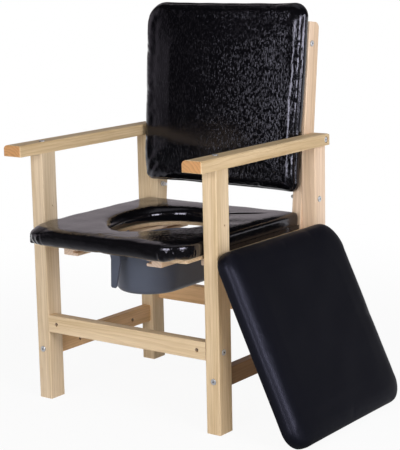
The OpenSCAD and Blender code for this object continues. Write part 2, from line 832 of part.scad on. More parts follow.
module pan_rail(s) {
  l = pan_rail_y1 - pan_rail_y0;
  mid = (pan_rail_y0 + pan_rail_y1) / 2;
  color(wood) on_side(s) difference() {
    translate([pan_rail_in + pan_rail_w / 2, mid, rail_under + pan_rail_h / 2]) rotate([90, 0, 0]) {
      translate([0, 0, -l / 2]) linear_extrude(height = l) eased(pan_rail_w, pan_rail_h, ease_r / 2);
    }
    translate([pan_rail_in - 1, pan_rail_y0 - 1, groove_z]) cube([groove_d + 1, l + 2, groove_h]);
    for (y = pan_screw_y) {
      translate([pan_screw_x, y, rail_under]) screw_hole(pan_rail_h + 5);
    }
  }
}

module pan_rail_left() { pan_rail(-1); }
module pan_rail_right() { pan_rail(1); }

module rail_spacers() {
  color(plastic) both_sides() for (y = pan_screw_y) {
    translate([pan_screw_x, y, rail_top]) difference() {
      cylinder(d = spacer_d, h = spacer_t);
      translate([0, 0, -1]) cylinder(r = screw_hole_r, h = spacer_t + 2);
    }
  }
}

// Pan: one wall section, turned half round at each end and drawn straight between

function fillet(cx, cz, r, n) = [for (i = [0:n]) [cx + r * sin(90 * i / n), cz - r * cos(90 * i / n)]];

module pan_section() {
  w = pan_wall;
  f = pan_fillet;
  fi = pan_fillet - pan_wall;
  polygon(concat(
    [[0, pan_z]],
    fillet(pan_foot_r - f, pan_z + f, f, 6),
    [
      [pan_r, flange_z], [flange_r - 0.5, flange_z], [flange_r, flange_z + 0.5], [flange_r, flange_top - 0.8],
      [flange_r - 0.8, flange_top], [lip_r, flange_top], [lip_r, flange_top + lip_h - 1],
      [lip_r - 1, flange_top + lip_h], [pan_r - w + 1, flange_top + lip_h], [pan_r - w, flange_top + lip_h - 1],
      [pan_r - w, flange_z]
    ],
    [for (i = [6:-1:0]) fillet(pan_foot_r - w - fi, pan_z + w + fi, fi, 6)[i]],
    [[0, pan_z + w]]
  ));
}

module pan() {
  color(plastic) difference() {
    translate([0, pan_y, 0]) union() {
      rotate([0, 0, 180]) rotate_extrude(angle = 180, $fn = 96) pan_section();
      translate([0, pan_mid, 0]) rotate_extrude(angle = 180, $fn = 96) pan_section();
      rotate([90, 0, 180]) linear_extrude(height = pan_mid) {
        pan_section();
        mirror([1, 0]) pan_section();
      }
    }
    at_rivets() cylinder(r = 2 + bolt_gap, h = 4 * grip_root_h, center = true);
  }
}

// Grip: a rigid hook clipped over the flange, with a tongue that hangs in front of the pan

module at_rivets() {
  for (x = [-0.55, 0.55]) {
    translate([x * grip_top, grip_y + 6.5, flange_z]) children();
  }
}

grip_z1 = flange_top + lip_h;
grip_z0 = grip_z1 - grip_root_h;
grip_low = flange_z - grip_drop;

// Side view of the clip, which grips the flange in a slot
module clip_side() {
  y0 = grip_y - grip_out + 10;
  r = grip_root_h * 0.4;
  difference() {
    union() {
      difference() {
        translate([y0, grip_z0]) square([grip_out + 2.5, grip_root_h]);
        translate([y0 - 1, grip_z1 - r]) square([r + 1, r + 1]);
      }
      translate([y0 + r, grip_z1 - r]) circle(r = r);
    }
    translate([grip_y - slide_gap, flange_z - slide_gap]) square([40, flange_t + 2 * slide_gap]);
  }
}

// Side view of the tongue, with its upper end inside the clip
module tongue_side() {
  y0 = grip_y - grip_out;
  polygon([
    [y0 + 11.5, grip_z0 + 7], [y0 + 16, grip_z0 + 7], [y0 + 16, grip_z0 - 1], [y0 + 10 + grip_t, grip_z0 - 6],
    [y0 + grip_t, grip_low + 2], [y0 + grip_t - 1.5, grip_low], [y0 + 1.5, grip_low], [y0, grip_low + 2]
  ]);
}

module pan_grip() {
  color(plastic) difference() {
    intersection() {
      rotate([90, 0, 90]) translate([0, 0, -grip_top]) union() {
        linear_extrude(height = 2 * grip_top) clip_side();
        linear_extrude(height = 2 * grip_top) tongue_side();
      }
      rotate([90, 0, 0]) translate([0, 0, -rear_y]) linear_extrude(height = 2 * chair_d) polygon([
        [-grip_top, grip_z1 + 1], [-grip_top, grip_z0 - 4], [-grip_end, grip_low + 4], [-grip_end + 3, grip_low],
        [grip_end - 3, grip_low], [grip_end, grip_low + 4], [grip_top, grip_z0 - 4], [grip_top, grip_z1 + 1]
      ]);
    }
    at_rivets() cylinder(r = 2 + bolt_gap, h = 4 * grip_root_h, center = true);
  }
}

module grip_rivets() {
  color(plastic) at_rivets() {
    translate([0, 0, grip_z0 - flange_z]) cylinder(r = 2, h = grip_root_h);
    translate([0, 0, grip_z1 - flange_z]) cylinder(r1 = 3.4, r2 = 2.6, h = 1.2);
  }
}

// Fastener groups

module front_rail_bolts() {
  color(steel) both_sides() at_front_rail_bolt() bolt(leg_w + nut_set + 6);
}

module rear_rail_bolts() {
  color(steel) both_sides() at_rear_rail_bolt() bolt(leg_w + nut_set + 6);
}

module side_rail_bolts() {
  color(steel) both_sides() {
    at_side_bolt_front() bolt(leg_d + side_nut_set + 6);
    at_side_bolt_rear() bolt(leg_d + side_nut_set + 6);
  }
}

module arm_front_bolts() {
  color(steel) for (s = [-1, 1]) on_side(s) at_arm_front_bolt(s) bolt(arm_t + insert_l);
}

module arm_rear_bolts() {
  color(steel) both_sides() at_arm_rear_bolt() bolt(arm_w - arm_sink + upright_w + nut_set + 6);
}

module back_rail_bolts() {
  color(steel) both_sides() at_back_rail_bolt() bolt(upright_w + nut_set + 6);
}

module upright_bolts() {
  color(steel) both_sides() at_upright_bolt() bolt(leg_w + upright_w + cap_l - 3);
}

module bearer_bolts() {
  color(steel) both_sides() for (y = [front_y + bearer_bolt_in, rear_bolt_y]) {
    at_bearer_bolt(y) bolt(leg_w + bearer_w - 3);
  }
}

module front_rail_nuts() {
  color(steel) both_sides() {
    translate([in_x - nut_set, front_y + front_bolt_in, front_rail_z]) aim_front() barrel_nut();
  }
}

module rear_rail_nuts() {
  color(steel) both_sides() {
    translate([in_x - nut_set, rear_y - rear_nut_in, rear_rail_z]) aim_back() barrel_nut();
  }
}

module side_rail_nuts() {
  color(steel) both_sides() for (y = [front_y + leg_d + side_nut_set, rear_y - leg_d - side_nut_set]) {
    translate([side_x, y, side_bolt_z]) aim_in() rotate([0, 0, 90]) barrel_nut();
  }
}

module back_rail_nuts() {
  color(steel) both_sides() for (s = [arm_s, top_s]) {
    at_back_nut(s) barrel_nut();
  }
}

module insert_nuts() {
  color(steel) for (s = [-1, 1]) on_side(s) {
    translate([leg_x + s * arm_bolt_side, front_y + arm_bolt_in, leg_h]) rotate([180, 0, 0]) insert_nut();
    for (y = [front_y + bearer_bolt_in, rear_bolt_y]) {
      translate([in_x - bearer_w, y, bearer_mid]) rotate([0, 90, 0]) insert_nut();
    }
  }
}

module cap_nuts() {
  color(steel) both_sides() {
    translate([up_in, rear_bolt_y, upright_bolt_z]) aim_in() difference() {
      union() {
        cylinder(d = cap_d, h = cap_l / 3);
        cylinder(d = cap_d * 0.7, h = cap_l - 1.5);
        translate([0, 0, cap_l - 1.5]) cylinder(d1 = cap_d * 0.7, d2 = cap_d * 0.45, h = 1.5);
      }
      translate([0, 0, -1]) cylinder(r = hole_r, h = cap_l - 1);
    }
  }
}

module pan_rail_screws() {
  color(steel) both_sides() for (y = pan_screw_y) {
    translate([pan_screw_x, y, rail_under]) screw(pan_rail_h + spacer_t + seat_board_t - 3);
  }
}

module seat_board_screws() {
  color(steel) both_sides() for (y = seat_screw_y) {
    translate([in_x - bearer_w / 2, y, bearer_z]) screw(bearer_h + seat_board_t - 3);
  }
}

module back_screws() {
  color(steel) both_sides() for (s = [arm_s, top_s]) {
    at_back_screw(s) screw(back_rail_t + back_board_t - 3);
  }
}

leg_front_left();
leg_front_right();
leg_rear_left();
leg_rear_right();
armrest_left();
armrest_right();
front_rail();
rear_rail();
side_rail_left();
side_rail_right();
upright_left();
upright_right();
back_rail_lower();
back_rail_upper();
back_board();
back_pad();
seat_bearer_left();
seat_bearer_right();
seat_board();
seat_pad();
pan_rail_left();
pan_rail_right();
rail_spacers();
pan();
pan_grip();
grip_rivets();
cover_board();
cover_pad();
front_rail_bolts();
side_rail_bolts();
rear_rail_bolts();
arm_front_bolts();
arm_rear_bolts();
back_rail_bolts();
upright_bolts();
bearer_bolts();
front_rail_nuts();
side_rail_nuts();
rear_rail_nuts();
back_rail_nuts();
insert_nuts();
cap_nuts();
pan_rail_screws();
seat_board_screws();
back_screws();
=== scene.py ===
# %% [markdown]
# # A wooden commode chair, dressed for its picture
# The solids of this chair come ready made, in real sizes. This notebook gives them their finishes and
# replaces the three plain cushions with padded ones, one short step at a time.

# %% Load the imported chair
import math
import bpy
import bmesh
from mathutils import Matrix, Vector, noise


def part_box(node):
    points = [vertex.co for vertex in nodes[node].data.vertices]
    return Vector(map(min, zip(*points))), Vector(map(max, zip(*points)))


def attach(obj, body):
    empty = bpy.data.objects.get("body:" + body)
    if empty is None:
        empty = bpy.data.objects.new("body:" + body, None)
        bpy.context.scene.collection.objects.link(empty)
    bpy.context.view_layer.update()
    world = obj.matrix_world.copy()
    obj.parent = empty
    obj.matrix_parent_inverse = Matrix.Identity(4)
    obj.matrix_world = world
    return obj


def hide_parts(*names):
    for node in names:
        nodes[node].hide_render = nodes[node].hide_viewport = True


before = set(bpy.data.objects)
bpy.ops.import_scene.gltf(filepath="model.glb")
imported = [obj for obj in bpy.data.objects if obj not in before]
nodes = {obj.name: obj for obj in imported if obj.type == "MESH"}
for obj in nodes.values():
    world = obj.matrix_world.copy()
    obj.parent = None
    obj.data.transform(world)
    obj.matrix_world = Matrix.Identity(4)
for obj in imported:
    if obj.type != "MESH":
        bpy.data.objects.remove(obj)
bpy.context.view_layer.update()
scene = bpy.context.scene
scene.view_settings.view_transform = "Standard"

# %% [markdown]
# ## The camera
# The picture looks at the chair from its front right, a little from above. A long lens keeps the legs
# almost parallel. The camera could be aimed with a constraint, but writing its three axes out
# keeps the small tilt that the picture has.

# %% Place the camera
VIEW_FROM = Vector((2.1811, -2.8799, 1.1364))
VIEW_TURN = math.radians(36.34)
VIEW_DOWN = math.radians(10.9)
VIEW_ROLL = math.radians(-1.22)
LENS_MM = 129.2


def camera_axes(turn, down, roll):
    """The camera's right, up and back directions."""
    ahead = Vector((-math.sin(turn) * math.cos(down), math.cos(turn) * math.cos(down), -math.sin(down)))
    right = Vector((math.cos(turn), math.sin(turn), 0.0))
    up = right.cross(ahead)
    tilted_right = math.cos(roll) * right + math.sin(roll) * up
    tilted_up = -math.sin(roll) * right + math.cos(roll) * up
    return tilted_right, tilted_up, -ahead


camera_data = bpy.data.cameras.new("picture_camera")
camera_data.lens = LENS_MM
camera_data.sensor_width = 36.0
camera_data.sensor_fit = "HORIZONTAL"
camera_data.clip_end = 100.0
camera = bpy.data.objects.new("picture_camera", camera_data)
scene.collection.objects.link(camera)
right, up, back = camera_axes(VIEW_TURN, VIEW_DOWN, VIEW_ROLL)
camera.matrix_world = Matrix.Translation(VIEW_FROM) @ Matrix((right, up, back)).transposed().to_4x4()
scene.camera = camera
print("camera stands", round(VIEW_FROM.length, 2), "m from the origin")

# %% [markdown]
# ## Nodes by the handful
# Every finish here is procedural: a small graph of nodes that works out a colour or a roughness for
# each point. Graphs can be drawn by hand in the shader editor. Written out, each node takes several
# lines, so a few helpers make the ones that come up again and again.

# %% Helpers for nodes
def new_material(name):
    """A material with its node tree and its shader."""
    material = bpy.data.materials.new(name)
    material.use_nodes = True
    tree = material.node_tree
    return material, tree, tree.nodes["Principled BSDF"]


def add_node(tree, kind, settings=None, **inputs):
    """One node. Inputs are values, or sockets to link from; underscores stand for spaces."""
    node = tree.nodes.new(kind)
    for key, value in (settings or {}).items():
        setattr(node, key, value)
    for key, value in inputs.items():
        socket = node.inputs[int(key[1:])] if key[1:].isdigit() else node.inputs[key.replace("_", " ")]
        if isinstance(value, bpy.types.NodeSocket):
            tree.links.new(value, socket)
        else:
            socket.default_value = value
    return node


def where(tree, kind="Object"):
    """A point's place on its object. Normal and Generated give directions instead."""
    return add_node(tree, "ShaderNodeTexCoord").outputs[kind]


def arithmetic(tree, operation, first, second=0.0, third=0.0):
    """One Math node."""
    node = add_node(tree, "ShaderNodeMath", {"operation": operation}, _0=first, _1=second, _2=third)
    return node.outputs[0]


def vector_math(tree, operation, *vectors):
    """One Vector Math node."""
    inputs = {"_" + str(number): vector for number, vector in enumerate(vectors)}
    return add_node(tree, "ShaderNodeVectorMath", {"operation": operation}, **inputs)


def reach_along(tree, vector, direction):
    """How far a vector goes along a direction."""
    return vector_math(tree, "DOT_PRODUCT", vector, direction).outputs["Value"]


print("node helpers are ready")

# %% Helpers for values and colours
def rescale(tree, value, begin=0.0, full=1.0, low=0.0, high=1.0, curve="LINEAR"):
    """Goes from low to high while a value goes from begin to full, and no further."""
    node = add_node(tree, "ShaderNodeMapRange", {"interpolation_type": curve}, Value=value,
                    From_Min=begin, From_Max=full, To_Min=low, To_Max=high)
    return node.outputs[0]


def soft_step(tree, value, begin, full, low=0.0, high=1.0):
    """The same with a soft start and a soft end."""
    return rescale(tree, value, begin, full, low, high, "SMOOTHSTEP")


def ramp(tree, fac, *stops):
    """A colour ramp from (position, colour) stops."""
    node = add_node(tree, "ShaderNodeValToRGB", Fac=fac)
    for number, (position, colour) in enumerate(stops):
        stop = node.color_ramp.elements[number] if number < 2 else node.color_ramp.elements.new(position)
        stop.position = position
        stop.color = (*colour, 1.0)
    return node.outputs["Color"]


def blend_colours(tree, fac, first, second, mode="MIX"):
    """Mixes two colours, each a socket or three numbers."""
    node = add_node(tree, "ShaderNodeMix", {"data_type": "RGBA", "blend_type": mode})
    for slot_number, value in ((0, fac), (6, first), (7, second)):
        socket = node.inputs[slot_number]
        if isinstance(value, bpy.types.NodeSocket):
            tree.links.new(value, socket)
        else:
            socket.default_value = value if slot_number == 0 else (*value, 1.0)
    return node.outputs[2]


def times(factor, colour):
    """A colour made darker or lighter."""
    return tuple(factor * c for c in colour)


print("value and colour helpers are ready")

# %% Helpers for grain and relief
def noise_cells(tree, place, cells, detail, roughness=0.5):
    """Noise with its own number of cells a metre along each axis."""
    mapped = add_node(tree, "ShaderNodeMapping", Vector=place, Scale=cells)
    return add_node(tree, "ShaderNodeTexNoise", Vector=mapped.outputs[0], Scale=1.0, Detail=detail,
                    Roughness=roughness)


def even_noise(tree, cells, detail):
    """Noise with as many cells a metre along each axis."""
    node = add_node(tree, "ShaderNodeTexNoise", Vector=where(tree), Scale=cells, Detail=detail)
    return node.outputs["Fac"]


def emboss(tree, shader, height, strength, distance):
    """Bends the light as a relief of that depth in metres would."""
    bump = add_node(tree, "ShaderNodeBump", Strength=strength, Distance=distance, Height=height)
    tree.links.new(bump.outputs[0], shader.inputs["Normal"])


print("grain and relief helpers are ready")

# %% [markdown]
# ## The floor
# The picture has a white backdrop and no floor line. A sheet that curves up behind the chair could be
# built, but one large floor is enough. For the camera it is mixed with plain white, and more so with
# the distance, so it stays pale and keeps a faint shadow under the chair. In what the chair mirrors,
# the floor is dark near the camera and bright towards the backdrop, as paper under a lamp is.

# %% Floor
TO_BACKDROP = (-0.59, 0.81, 0.0)
FLOOR_HALF = 30.0
FLOOR_GREY = 0.86
FADE_FROM, FADE_TO, WHITE_NEAR = 0.6, 2.2, 0.93
PAPER_FROM, PAPER_TO, PAPER_DARK = -0.6, 0.8, 0.03
floor_mesh = bpy.data.meshes.new("studio_floor")
floor_corners = [(x * FLOOR_HALF, y * FLOOR_HALF, 0.0) for x, y in ((-1, -1), (1, -1), (1, 1), (-1, 1))]
floor_mesh.from_pydata(floor_corners, [], [(0, 1, 2, 3)])
floor = bpy.data.objects.new("studio_floor", floor_mesh)
scene.collection.objects.link(floor)

floor_paint, tree, shader = new_material("floor_paint")
shader.inputs["Base Color"].default_value = (FLOOR_GREY, FLOOR_GREY, FLOOR_GREY, 1.0)
shader.inputs["Roughness"].default_value = 0.9
shader.inputs["Specular IOR Level"].default_value = 0.1
rays = add_node(tree, "ShaderNodeLightPath")
direct = arithmetic(tree, "MAXIMUM", rays.outputs["Is Camera Ray"], rays.outputs["Is Transmission Ray"])
seen = arithmetic(tree, "MAXIMUM", direct, rays.outputs["Is Glossy Ray"])
place = where(tree)
apart = vector_math(tree, "LENGTH", place).outputs["Value"]
whiter = soft_step(tree, apart, FADE_FROM, FADE_TO, WHITE_NEAR)
share = arithmetic(tree, "MULTIPLY", seen, whiter)
paper = rescale(tree, reach_along(tree, place, TO_BACKDROP), PAPER_FROM, PAPER_TO, PAPER_DARK)
level = arithmetic(tree, "MAXIMUM", paper, direct)
white = add_node(tree, "ShaderNodeEmission", Color=(1, 1, 1, 1), Strength=level)
mixed = add_node(tree, "ShaderNodeMixShader", Fac=share, _1=shader.outputs[0], _2=white.outputs[0])
tree.links.new(mixed.outputs[0], tree.nodes["Material Output"].inputs["Surface"])
floor_mesh.materials.append(floor_paint)
print("floor:", 2 * FLOOR_HALF, "m square")

# %% [markdown]
# ## The surroundings
# Black vinyl shows its form almost only by what it mirrors, so the world is made for that. A picture
# of a studio could be wrapped round the scene, but two bright patches do: a wide one behind the chair,
# which gives a pale sheen where the vinyl is seen at a slant, and a card at the picture's left, which
# draws lines along the rolls. The rest is dark in mirrors. Matt surfaces get an even, dim light.

# %% World
AMBIENT = 0.22
BACKDROP_FROM, BACKDROP_TO = 0.55, 0.95
BACKDROP_DARK, BACKDROP_BRIGHT = 0.02, 0.46
TO_CARD = (-0.95, -0.30, 0.0)
CARD_FROM, CARD_TO, CARD_BRIGHT = 0.84, 0.97, 0.55
MIRROR_TINT = (1.0, 0.90, 0.95)
world = bpy.data.worlds.new("studio_world")
scene.world = world
world.use_nodes = True
tree = world.node_tree
sky = tree.nodes["Background"]
rays = add_node(tree, "ShaderNodeLightPath")
seen = arithmetic(tree, "MAXIMUM", rays.outputs["Is Camera Ray"], rays.outputs["Is Transmission Ray"])
in_mirror = rays.outputs["Is Glossy Ray"]
direction = where(tree, "Generated")
backdrop = soft_step(tree, reach_along(tree, direction, TO_BACKDROP), BACKDROP_FROM, BACKDROP_TO,
                     BACKDROP_DARK, BACKDROP_BRIGHT)
card = soft_step(tree, reach_along(tree, direction, TO_CARD), CARD_FROM, CARD_TO, 0.0, CARD_BRIGHT)
glossy = arithmetic(tree, "MULTIPLY", in_mirror, arithmetic(tree, "MAXIMUM", backdrop, card))
ambient = arithmetic(tree, "MULTIPLY", arithmetic(tree, "SUBTRACT", 1.0, in_mirror), AMBIENT)
level = arithmetic(tree, "MAXIMUM", arithmetic(tree, "ADD", glossy, ambient), seen)
tree.links.new(level, sky.inputs["Strength"])
tree.links.new(blend_colours(tree, in_mirror, (1.0, 1.0, 1.0), MIRROR_TINT), sky.inputs["Color"])
print("world: backdrop", BACKDROP_BRIGHT, "card", CARD_BRIGHT, "even light", AMBIENT)

# %% [markdown]
# ## The lamps
# The shadows in the picture are soft and faint. A sun lamp would draw hard ones, so the lamps are large
# squares. One in front lights the faces that look at the camera, one at the right lights the side that
# the camera also sees, and a weak one above lifts the tops.

# %% Lamps
def soft_lamp(name, place, aim, size, watts, tint=(1.0, 1.0, 1.0)):
    """A large square lamp that faces a point."""
    data = bpy.data.lights.new(name, "AREA")
    data.shape = "SQUARE"
    data.size = size
    data.energy = watts
    data.color = tint
    lamp = bpy.data.objects.new(name, data)
    lamp.location = place
    lamp.rotation_euler = (Vector(aim) - Vector(place)).to_track_quat("-Z", "Y").to_euler()
    scene.collection.objects.link(lamp)


CHAIR_MIDDLE = (0.0, 0.0, 0.5)
COOL = (0.97, 0.97, 1.0)
soft_lamp("front_lamp", (0.7, -3.7, 1.2), CHAIR_MIDDLE, size=1.7, watts=75.0, tint=COOL)
soft_lamp("right_lamp", (3.35, -1.1, 1.4), CHAIR_MIDDLE, size=1.4, watts=68.0, tint=COOL)
soft_lamp("top_lamp", (0.2, 0.4, 3.4), CHAIR_MIDDLE, size=2.6, watts=8.0)

# %% [markdown]
# ## Pine
# The frame is pale lacquered pine. A photograph of wood wrapped round each bar would look the same on
# every bar, so the wood is solid instead: growth rings round a pith line that lies outside the bar,
# cut by the bar's faces as a saw would. Each bar has its own pith line, and some have a tint, so no
# two look alike; a few of the tints are painted light and shade. The end grain drinks more lacquer,
# which shows as orange on the armrests' ends.

# %% Make pine that runs along one axis
PALE, LATE = (0.76, 0.595, 0.385), (0.60, 0.43, 0.25)
END_ORANGE, END_PALE = (0.62, 0.32, 0.13), (0.66, 0.50, 0.38)
RING_GAP = 0.0075
RING_EDGE, RING_SHARE = 2.4, 0.62
RING_SWAY = (0.030, 0.030, 0.030)
WAVE_RADIANS = 20.0
PATCHES = (0.34, (0.87, 0.83, 0.76)), (0.64, (1.05, 1.05, 1.07))
THREADS = (0.30, (0.86, 0.83, 0.79)), (0.62, (1.04, 1.04, 1.04))


def grain_cells(along, across_grain, with_grain):
    """Noise cells a metre: one number across the grain and another along it."""
    cells = [across_grain] * 3
    cells[along] = with_grain
    return cells


def growth_rings(tree, place, along):
    """Rings round the axis, 0 in early wood and RING_SHARE in late wood, bent by a slow noise."""
    sway = noise_cells(tree, place, grain_cells(along, 22.0, 2.6), 3.0).outputs["Color"]
    bent = vector_math(tree, "MULTIPLY_ADD", sway, RING_SWAY, place)
    rings = add_node(tree, "ShaderNodeTexWave",
                     {"wave_type": "RINGS", "rings_direction": "XYZ"[along], "wave_profile": "SAW"},
                     Vector=bent.outputs[0], Scale=math.tau / (WAVE_RADIANS * RING_GAP),
                     Distortion=0.8, Detail=2.0, Detail_Scale=30.0)
    late = arithmetic(tree, "POWER", rings.outputs["Fac"], RING_EDGE)
    return arithmetic(tree, "MULTIPLY", late, RING_SHARE)


def pine(name, along, pith, lean, tint, end_colour):
    """Solid pine with rings round a line along axis 0, 1 or 2 through the point pith, in metres."""
    material, tree, shader = new_material(name)
    turned = add_node(tree, "ShaderNodeMapping", Vector=where(tree), Rotation=(lean, 0.0, 0.0)).outputs[0]
    place = vector_math(tree, "SUBTRACT", turned, pith).outputs[0]
    rings = growth_rings(tree, place, along)
    fibre = noise_cells(tree, place, grain_cells(along, 700.0, 16.0), 3.0).outputs["Fac"]
    patch = noise_cells(tree, place, grain_cells(along, 34.0, 2.0), 2.0).outputs["Fac"]

    pale, late = (tuple(t * c for t, c in zip(tint, colour)) for colour in (PALE, LATE))
    wood = blend_colours(tree, rings, pale, late)
    wood = blend_colours(tree, 1.0, wood, ramp(tree, patch, *PATCHES), "MULTIPLY")
    wood = blend_colours(tree, 0.8, wood, ramp(tree, fibre, *THREADS), "MULTIPLY")
    parts = add_node(tree, "ShaderNodeSeparateXYZ", Vector=where(tree, "Normal"))
    facing = arithmetic(tree, "ABSOLUTE", parts.outputs[along])
    end_wood = blend_colours(tree, rings, end_colour, times(0.55, end_colour))
    wood = blend_colours(tree, soft_step(tree, facing, 0.72, 0.93), wood, end_wood)
    tree.links.new(wood, shader.inputs["Base Color"])

    tree.links.new(rescale(tree, fibre, low=0.38, high=0.54), shader.inputs["Roughness"])
    shader.inputs["Specular IOR Level"].default_value = 0.35
    emboss(tree, shader, arithmetic(tree, "MULTIPLY_ADD", rings, 0.25, fibre), 0.12, 0.0006)
    return material


print("pine colours:", PALE, LATE)

# %% [markdown]
# ## Wood on every bar
# A bar's row says which axis it runs along, where its pith lies and how it is tinted. The tints could
# come from chance, but they are chosen. Some bars are paler or pinker wood. Others carry painted shade:
# the rear rail and the left side rail a warm, darker tint for the shade under the seat, and the right
# side rail a dark one for the cover pad's shadow. The rear right leg and the right upright are lighter,
# partly paler wood and partly painted light. The armrests are a little warmer and darker. The uprights
# lean back, and their grain leans with them.

# %% Dress the timber
def dress(node_name, material):
    """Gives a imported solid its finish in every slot."""
    mesh = nodes[node_name].data
    mesh.materials.clear()
    mesh.materials.append(material)


BACK_LEAN = math.radians(5.8)
# Tints that stand in for light: the warm tint of the rear rail and the left side rail is painted shade under
# the seat, the dark tint of the right side rail is the painted shadow of the leaning cover pad, and the
# light tint of the rear right leg and the right upright is partly paler wood and partly painted light. The
# armrests' tint is only a little warmer and darker.
PLAIN, FRONT, PINK, LIGHT = (1.0, 1.0, 1.0), (1.03, 1.07, 1.18), (1.12, 1.10, 1.24), (1.24, 1.22, 1.40)
WARM_SHADE, PAINTED_SHADE, ARM_TINT = (1.08, 0.90, 0.74), (0.42, 0.33, 0.26), (0.98, 0.95, 0.88)
TIMBER = {
    "leg_front_left": (2, (-0.33, -0.30, 0.0), FRONT), "leg_front_right": (2, (0.20, -0.31, 0.0), PLAIN),
    "leg_rear_left": (2, (-0.35, 0.28, 0.0), PLAIN), "leg_rear_right": (2, (0.22, 0.15, 0.0), LIGHT),
    "armrest_left": (1, (-0.30, 0.0, 0.58), ARM_TINT), "armrest_right": (1, (0.24, 0.0, 0.60), ARM_TINT),
    "front_rail": (0, (0.0, -0.29, 0.15), PLAIN), "rear_rail": (0, (0.0, 0.30, 0.24), WARM_SHADE),
    "side_rail_left": (1, (-0.22, 0.0, 0.08), WARM_SHADE), "side_rail_right": (1, (0.31, 0.0, 0.17), PAINTED_SHADE),
    "upright_left": (2, (-0.20, 0.10, 0.0), PLAIN), "upright_right": (2, (0.29, 0.08, 0.0), LIGHT),
    "back_rail_lower": (0, (0.0, 0.28, 0.61), PLAIN), "back_rail_upper": (0, (0.0, 0.20, 0.95), PLAIN),
    "seat_bearer_left": (1, (-0.21, 0.0, 0.45), PLAIN), "seat_bearer_right": (1, (0.25, 0.0, 0.37), PLAIN),
    "pan_rail_left": (1, (-0.16, 0.0, 0.46), PINK), "pan_rail_right": (1, (0.11, 0.0, 0.36), PINK),
}
for node_name, (along, pith, tint) in TIMBER.items():
    lean = BACK_LEAN if node_name.startswith("upright") else 0.0
    end_colour = END_ORANGE if node_name.startswith("armrest") else END_PALE
    dress(node_name, pine("pine_" + node_name, along, pith, lean, tint, end_colour))
print("timber pieces dressed:", len(TIMBER))

# %% [markdown]
# ## Plywood
# The seat board and the boards behind the cushions are thin birch plywood. Its face is plain and a
# little blotchy. On the edge the plies show as thin stripes, dark where the grain points at you, so
# the stripes follow the board's thickness and not a picture of them.

# %% Make plywood
PLIES = 5
PLY_LIGHT = (0.30, (0.56, 0.40, 0.24)), (0.70, (0.70, 0.54, 0.36))
PLY_DARK = (0.36, 0.23, 0.12)


def plywood(name, origin, through, thickness):
    """Plywood whose plies are stacked from the point origin along the direction through."""
    material, tree, shader = new_material(name)
    moved = vector_math(tree, "SUBTRACT", where(tree), origin).outputs[0]
    layer = arithmetic(tree, "MULTIPLY", reach_along(tree, moved, through), PLIES / thickness / 2.0)
    dark = arithmetic(tree, "GREATER_THAN", arithmetic(tree, "FRACT", layer), 0.5)
    facing = arithmetic(tree, "ABSOLUTE", reach_along(tree, where(tree, "Normal"), through))
    on_edge = arithmetic(tree, "LESS_THAN", facing, 0.5)
    stripes = arithmetic(tree, "MULTIPLY", dark, on_edge)
    grain = noise_cells(tree, moved, (300.0, 6.0, 6.0), 4.0).outputs["Fac"]
    board = blend_colours(tree, stripes, ramp(tree, grain, *PLY_LIGHT), PLY_DARK)
    tree.links.new(board, shader.inputs["Base Color"])
    shader.inputs["Roughness"].default_value = 0.65
    emboss(tree, shader, grain, 0.15, 0.0005)
    return material


COVER_TILT = math.radians(25.1)
UPWARD = (0.0, 0.0, 1.0)
back_normal = (0.0, math.cos(BACK_LEAN), -math.sin(BACK_LEAN))
cover_normal = (math.cos(COVER_TILT), 0.0, math.sin(COVER_TILT))
low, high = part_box("cover_board")
cover_corner = (low.x, 0.0, high.z)
dress("seat_board", plywood("plywood_seat", (0.0, 0.0, 0.424), UPWARD, 0.008))
dress("back_board", plywood("plywood_back", (0.0, 0.139, 0.0), back_normal, 0.009))
dress("cover_board", plywood("plywood_cover", cover_corner, cover_normal, 0.009))
print("plywood boards: 3")

# %% [markdown]
# ## Steel
# The bolts are zinc plated, bright and a little cloudy. The nuts and screws that hide in the wood are
# duller. A metal shows what it mirrors, so its colour changes little and its roughness varies.
# The sockets look nearly black, so they get painted shade: a node that feels how close the next face
# is finds them, and a near-black colour is mixed in there without a second material. It darkens every
# place where another face is close, not only the sockets.

# %% Make plated steel and dress the fasteners
SOCKET_REACH = 0.006
SOCKET_SHADE = (0.012, 0.011, 0.011)
ZINC, DULL_ZINC = (0.78, 0.79, 0.82), (0.20, 0.19, 0.19)


def plated_steel(name, colour, smooth, matt, metal):
    """Plated steel whose roughness wanders from smooth to matt. metal: the share of metal in its look."""
    material, tree, shader = new_material(name)
    cloud = even_noise(tree, 420.0, 3.0)
    tint = ramp(tree, cloud, (0.3, times(0.8, colour)), (0.7, colour))
    # Painted shade: a near-black colour is mixed in where another face is close, in the sockets and wherever
    # the steel meets another part.
    hollow = add_node(tree, "ShaderNodeAmbientOcclusion", {"samples": 8}, Distance=SOCKET_REACH)
    unshaded = rescale(tree, hollow.outputs["AO"], 0.45, 0.85)
    tint = blend_colours(tree, unshaded, SOCKET_SHADE, tint)
    tree.links.new(tint, shader.inputs["Base Color"])
    tree.links.new(rescale(tree, cloud, low=smooth, high=matt), shader.inputs["Roughness"])
    shader.inputs["Metallic"].default_value = metal
    return material


bright_steel = plated_steel("plated_steel", ZINC, 0.25, 0.45, 0.6)
dull_steel = plated_steel("dull_steel", DULL_ZINC, 0.35, 0.6, 0.8)
BRIGHT = ["front_rail_bolts", "side_rail_bolts", "rear_rail_bolts", "arm_front_bolts", "back_rail_bolts",
          "upright_bolts", "bearer_bolts", "cap_nuts", "arm_rear_bolts"]
DULL = ["front_rail_nuts", "side_rail_nuts", "rear_rail_nuts", "back_rail_nuts", "insert_nuts",
        "pan_rail_screws", "seat_board_screws", "back_screws"]
for node_name in BRIGHT:
    dress(node_name, bright_steel)
for node_name in DULL:
    dress(node_name, dull_steel)
print("fastener groups dressed:", len(BRIGHT) + len(DULL))

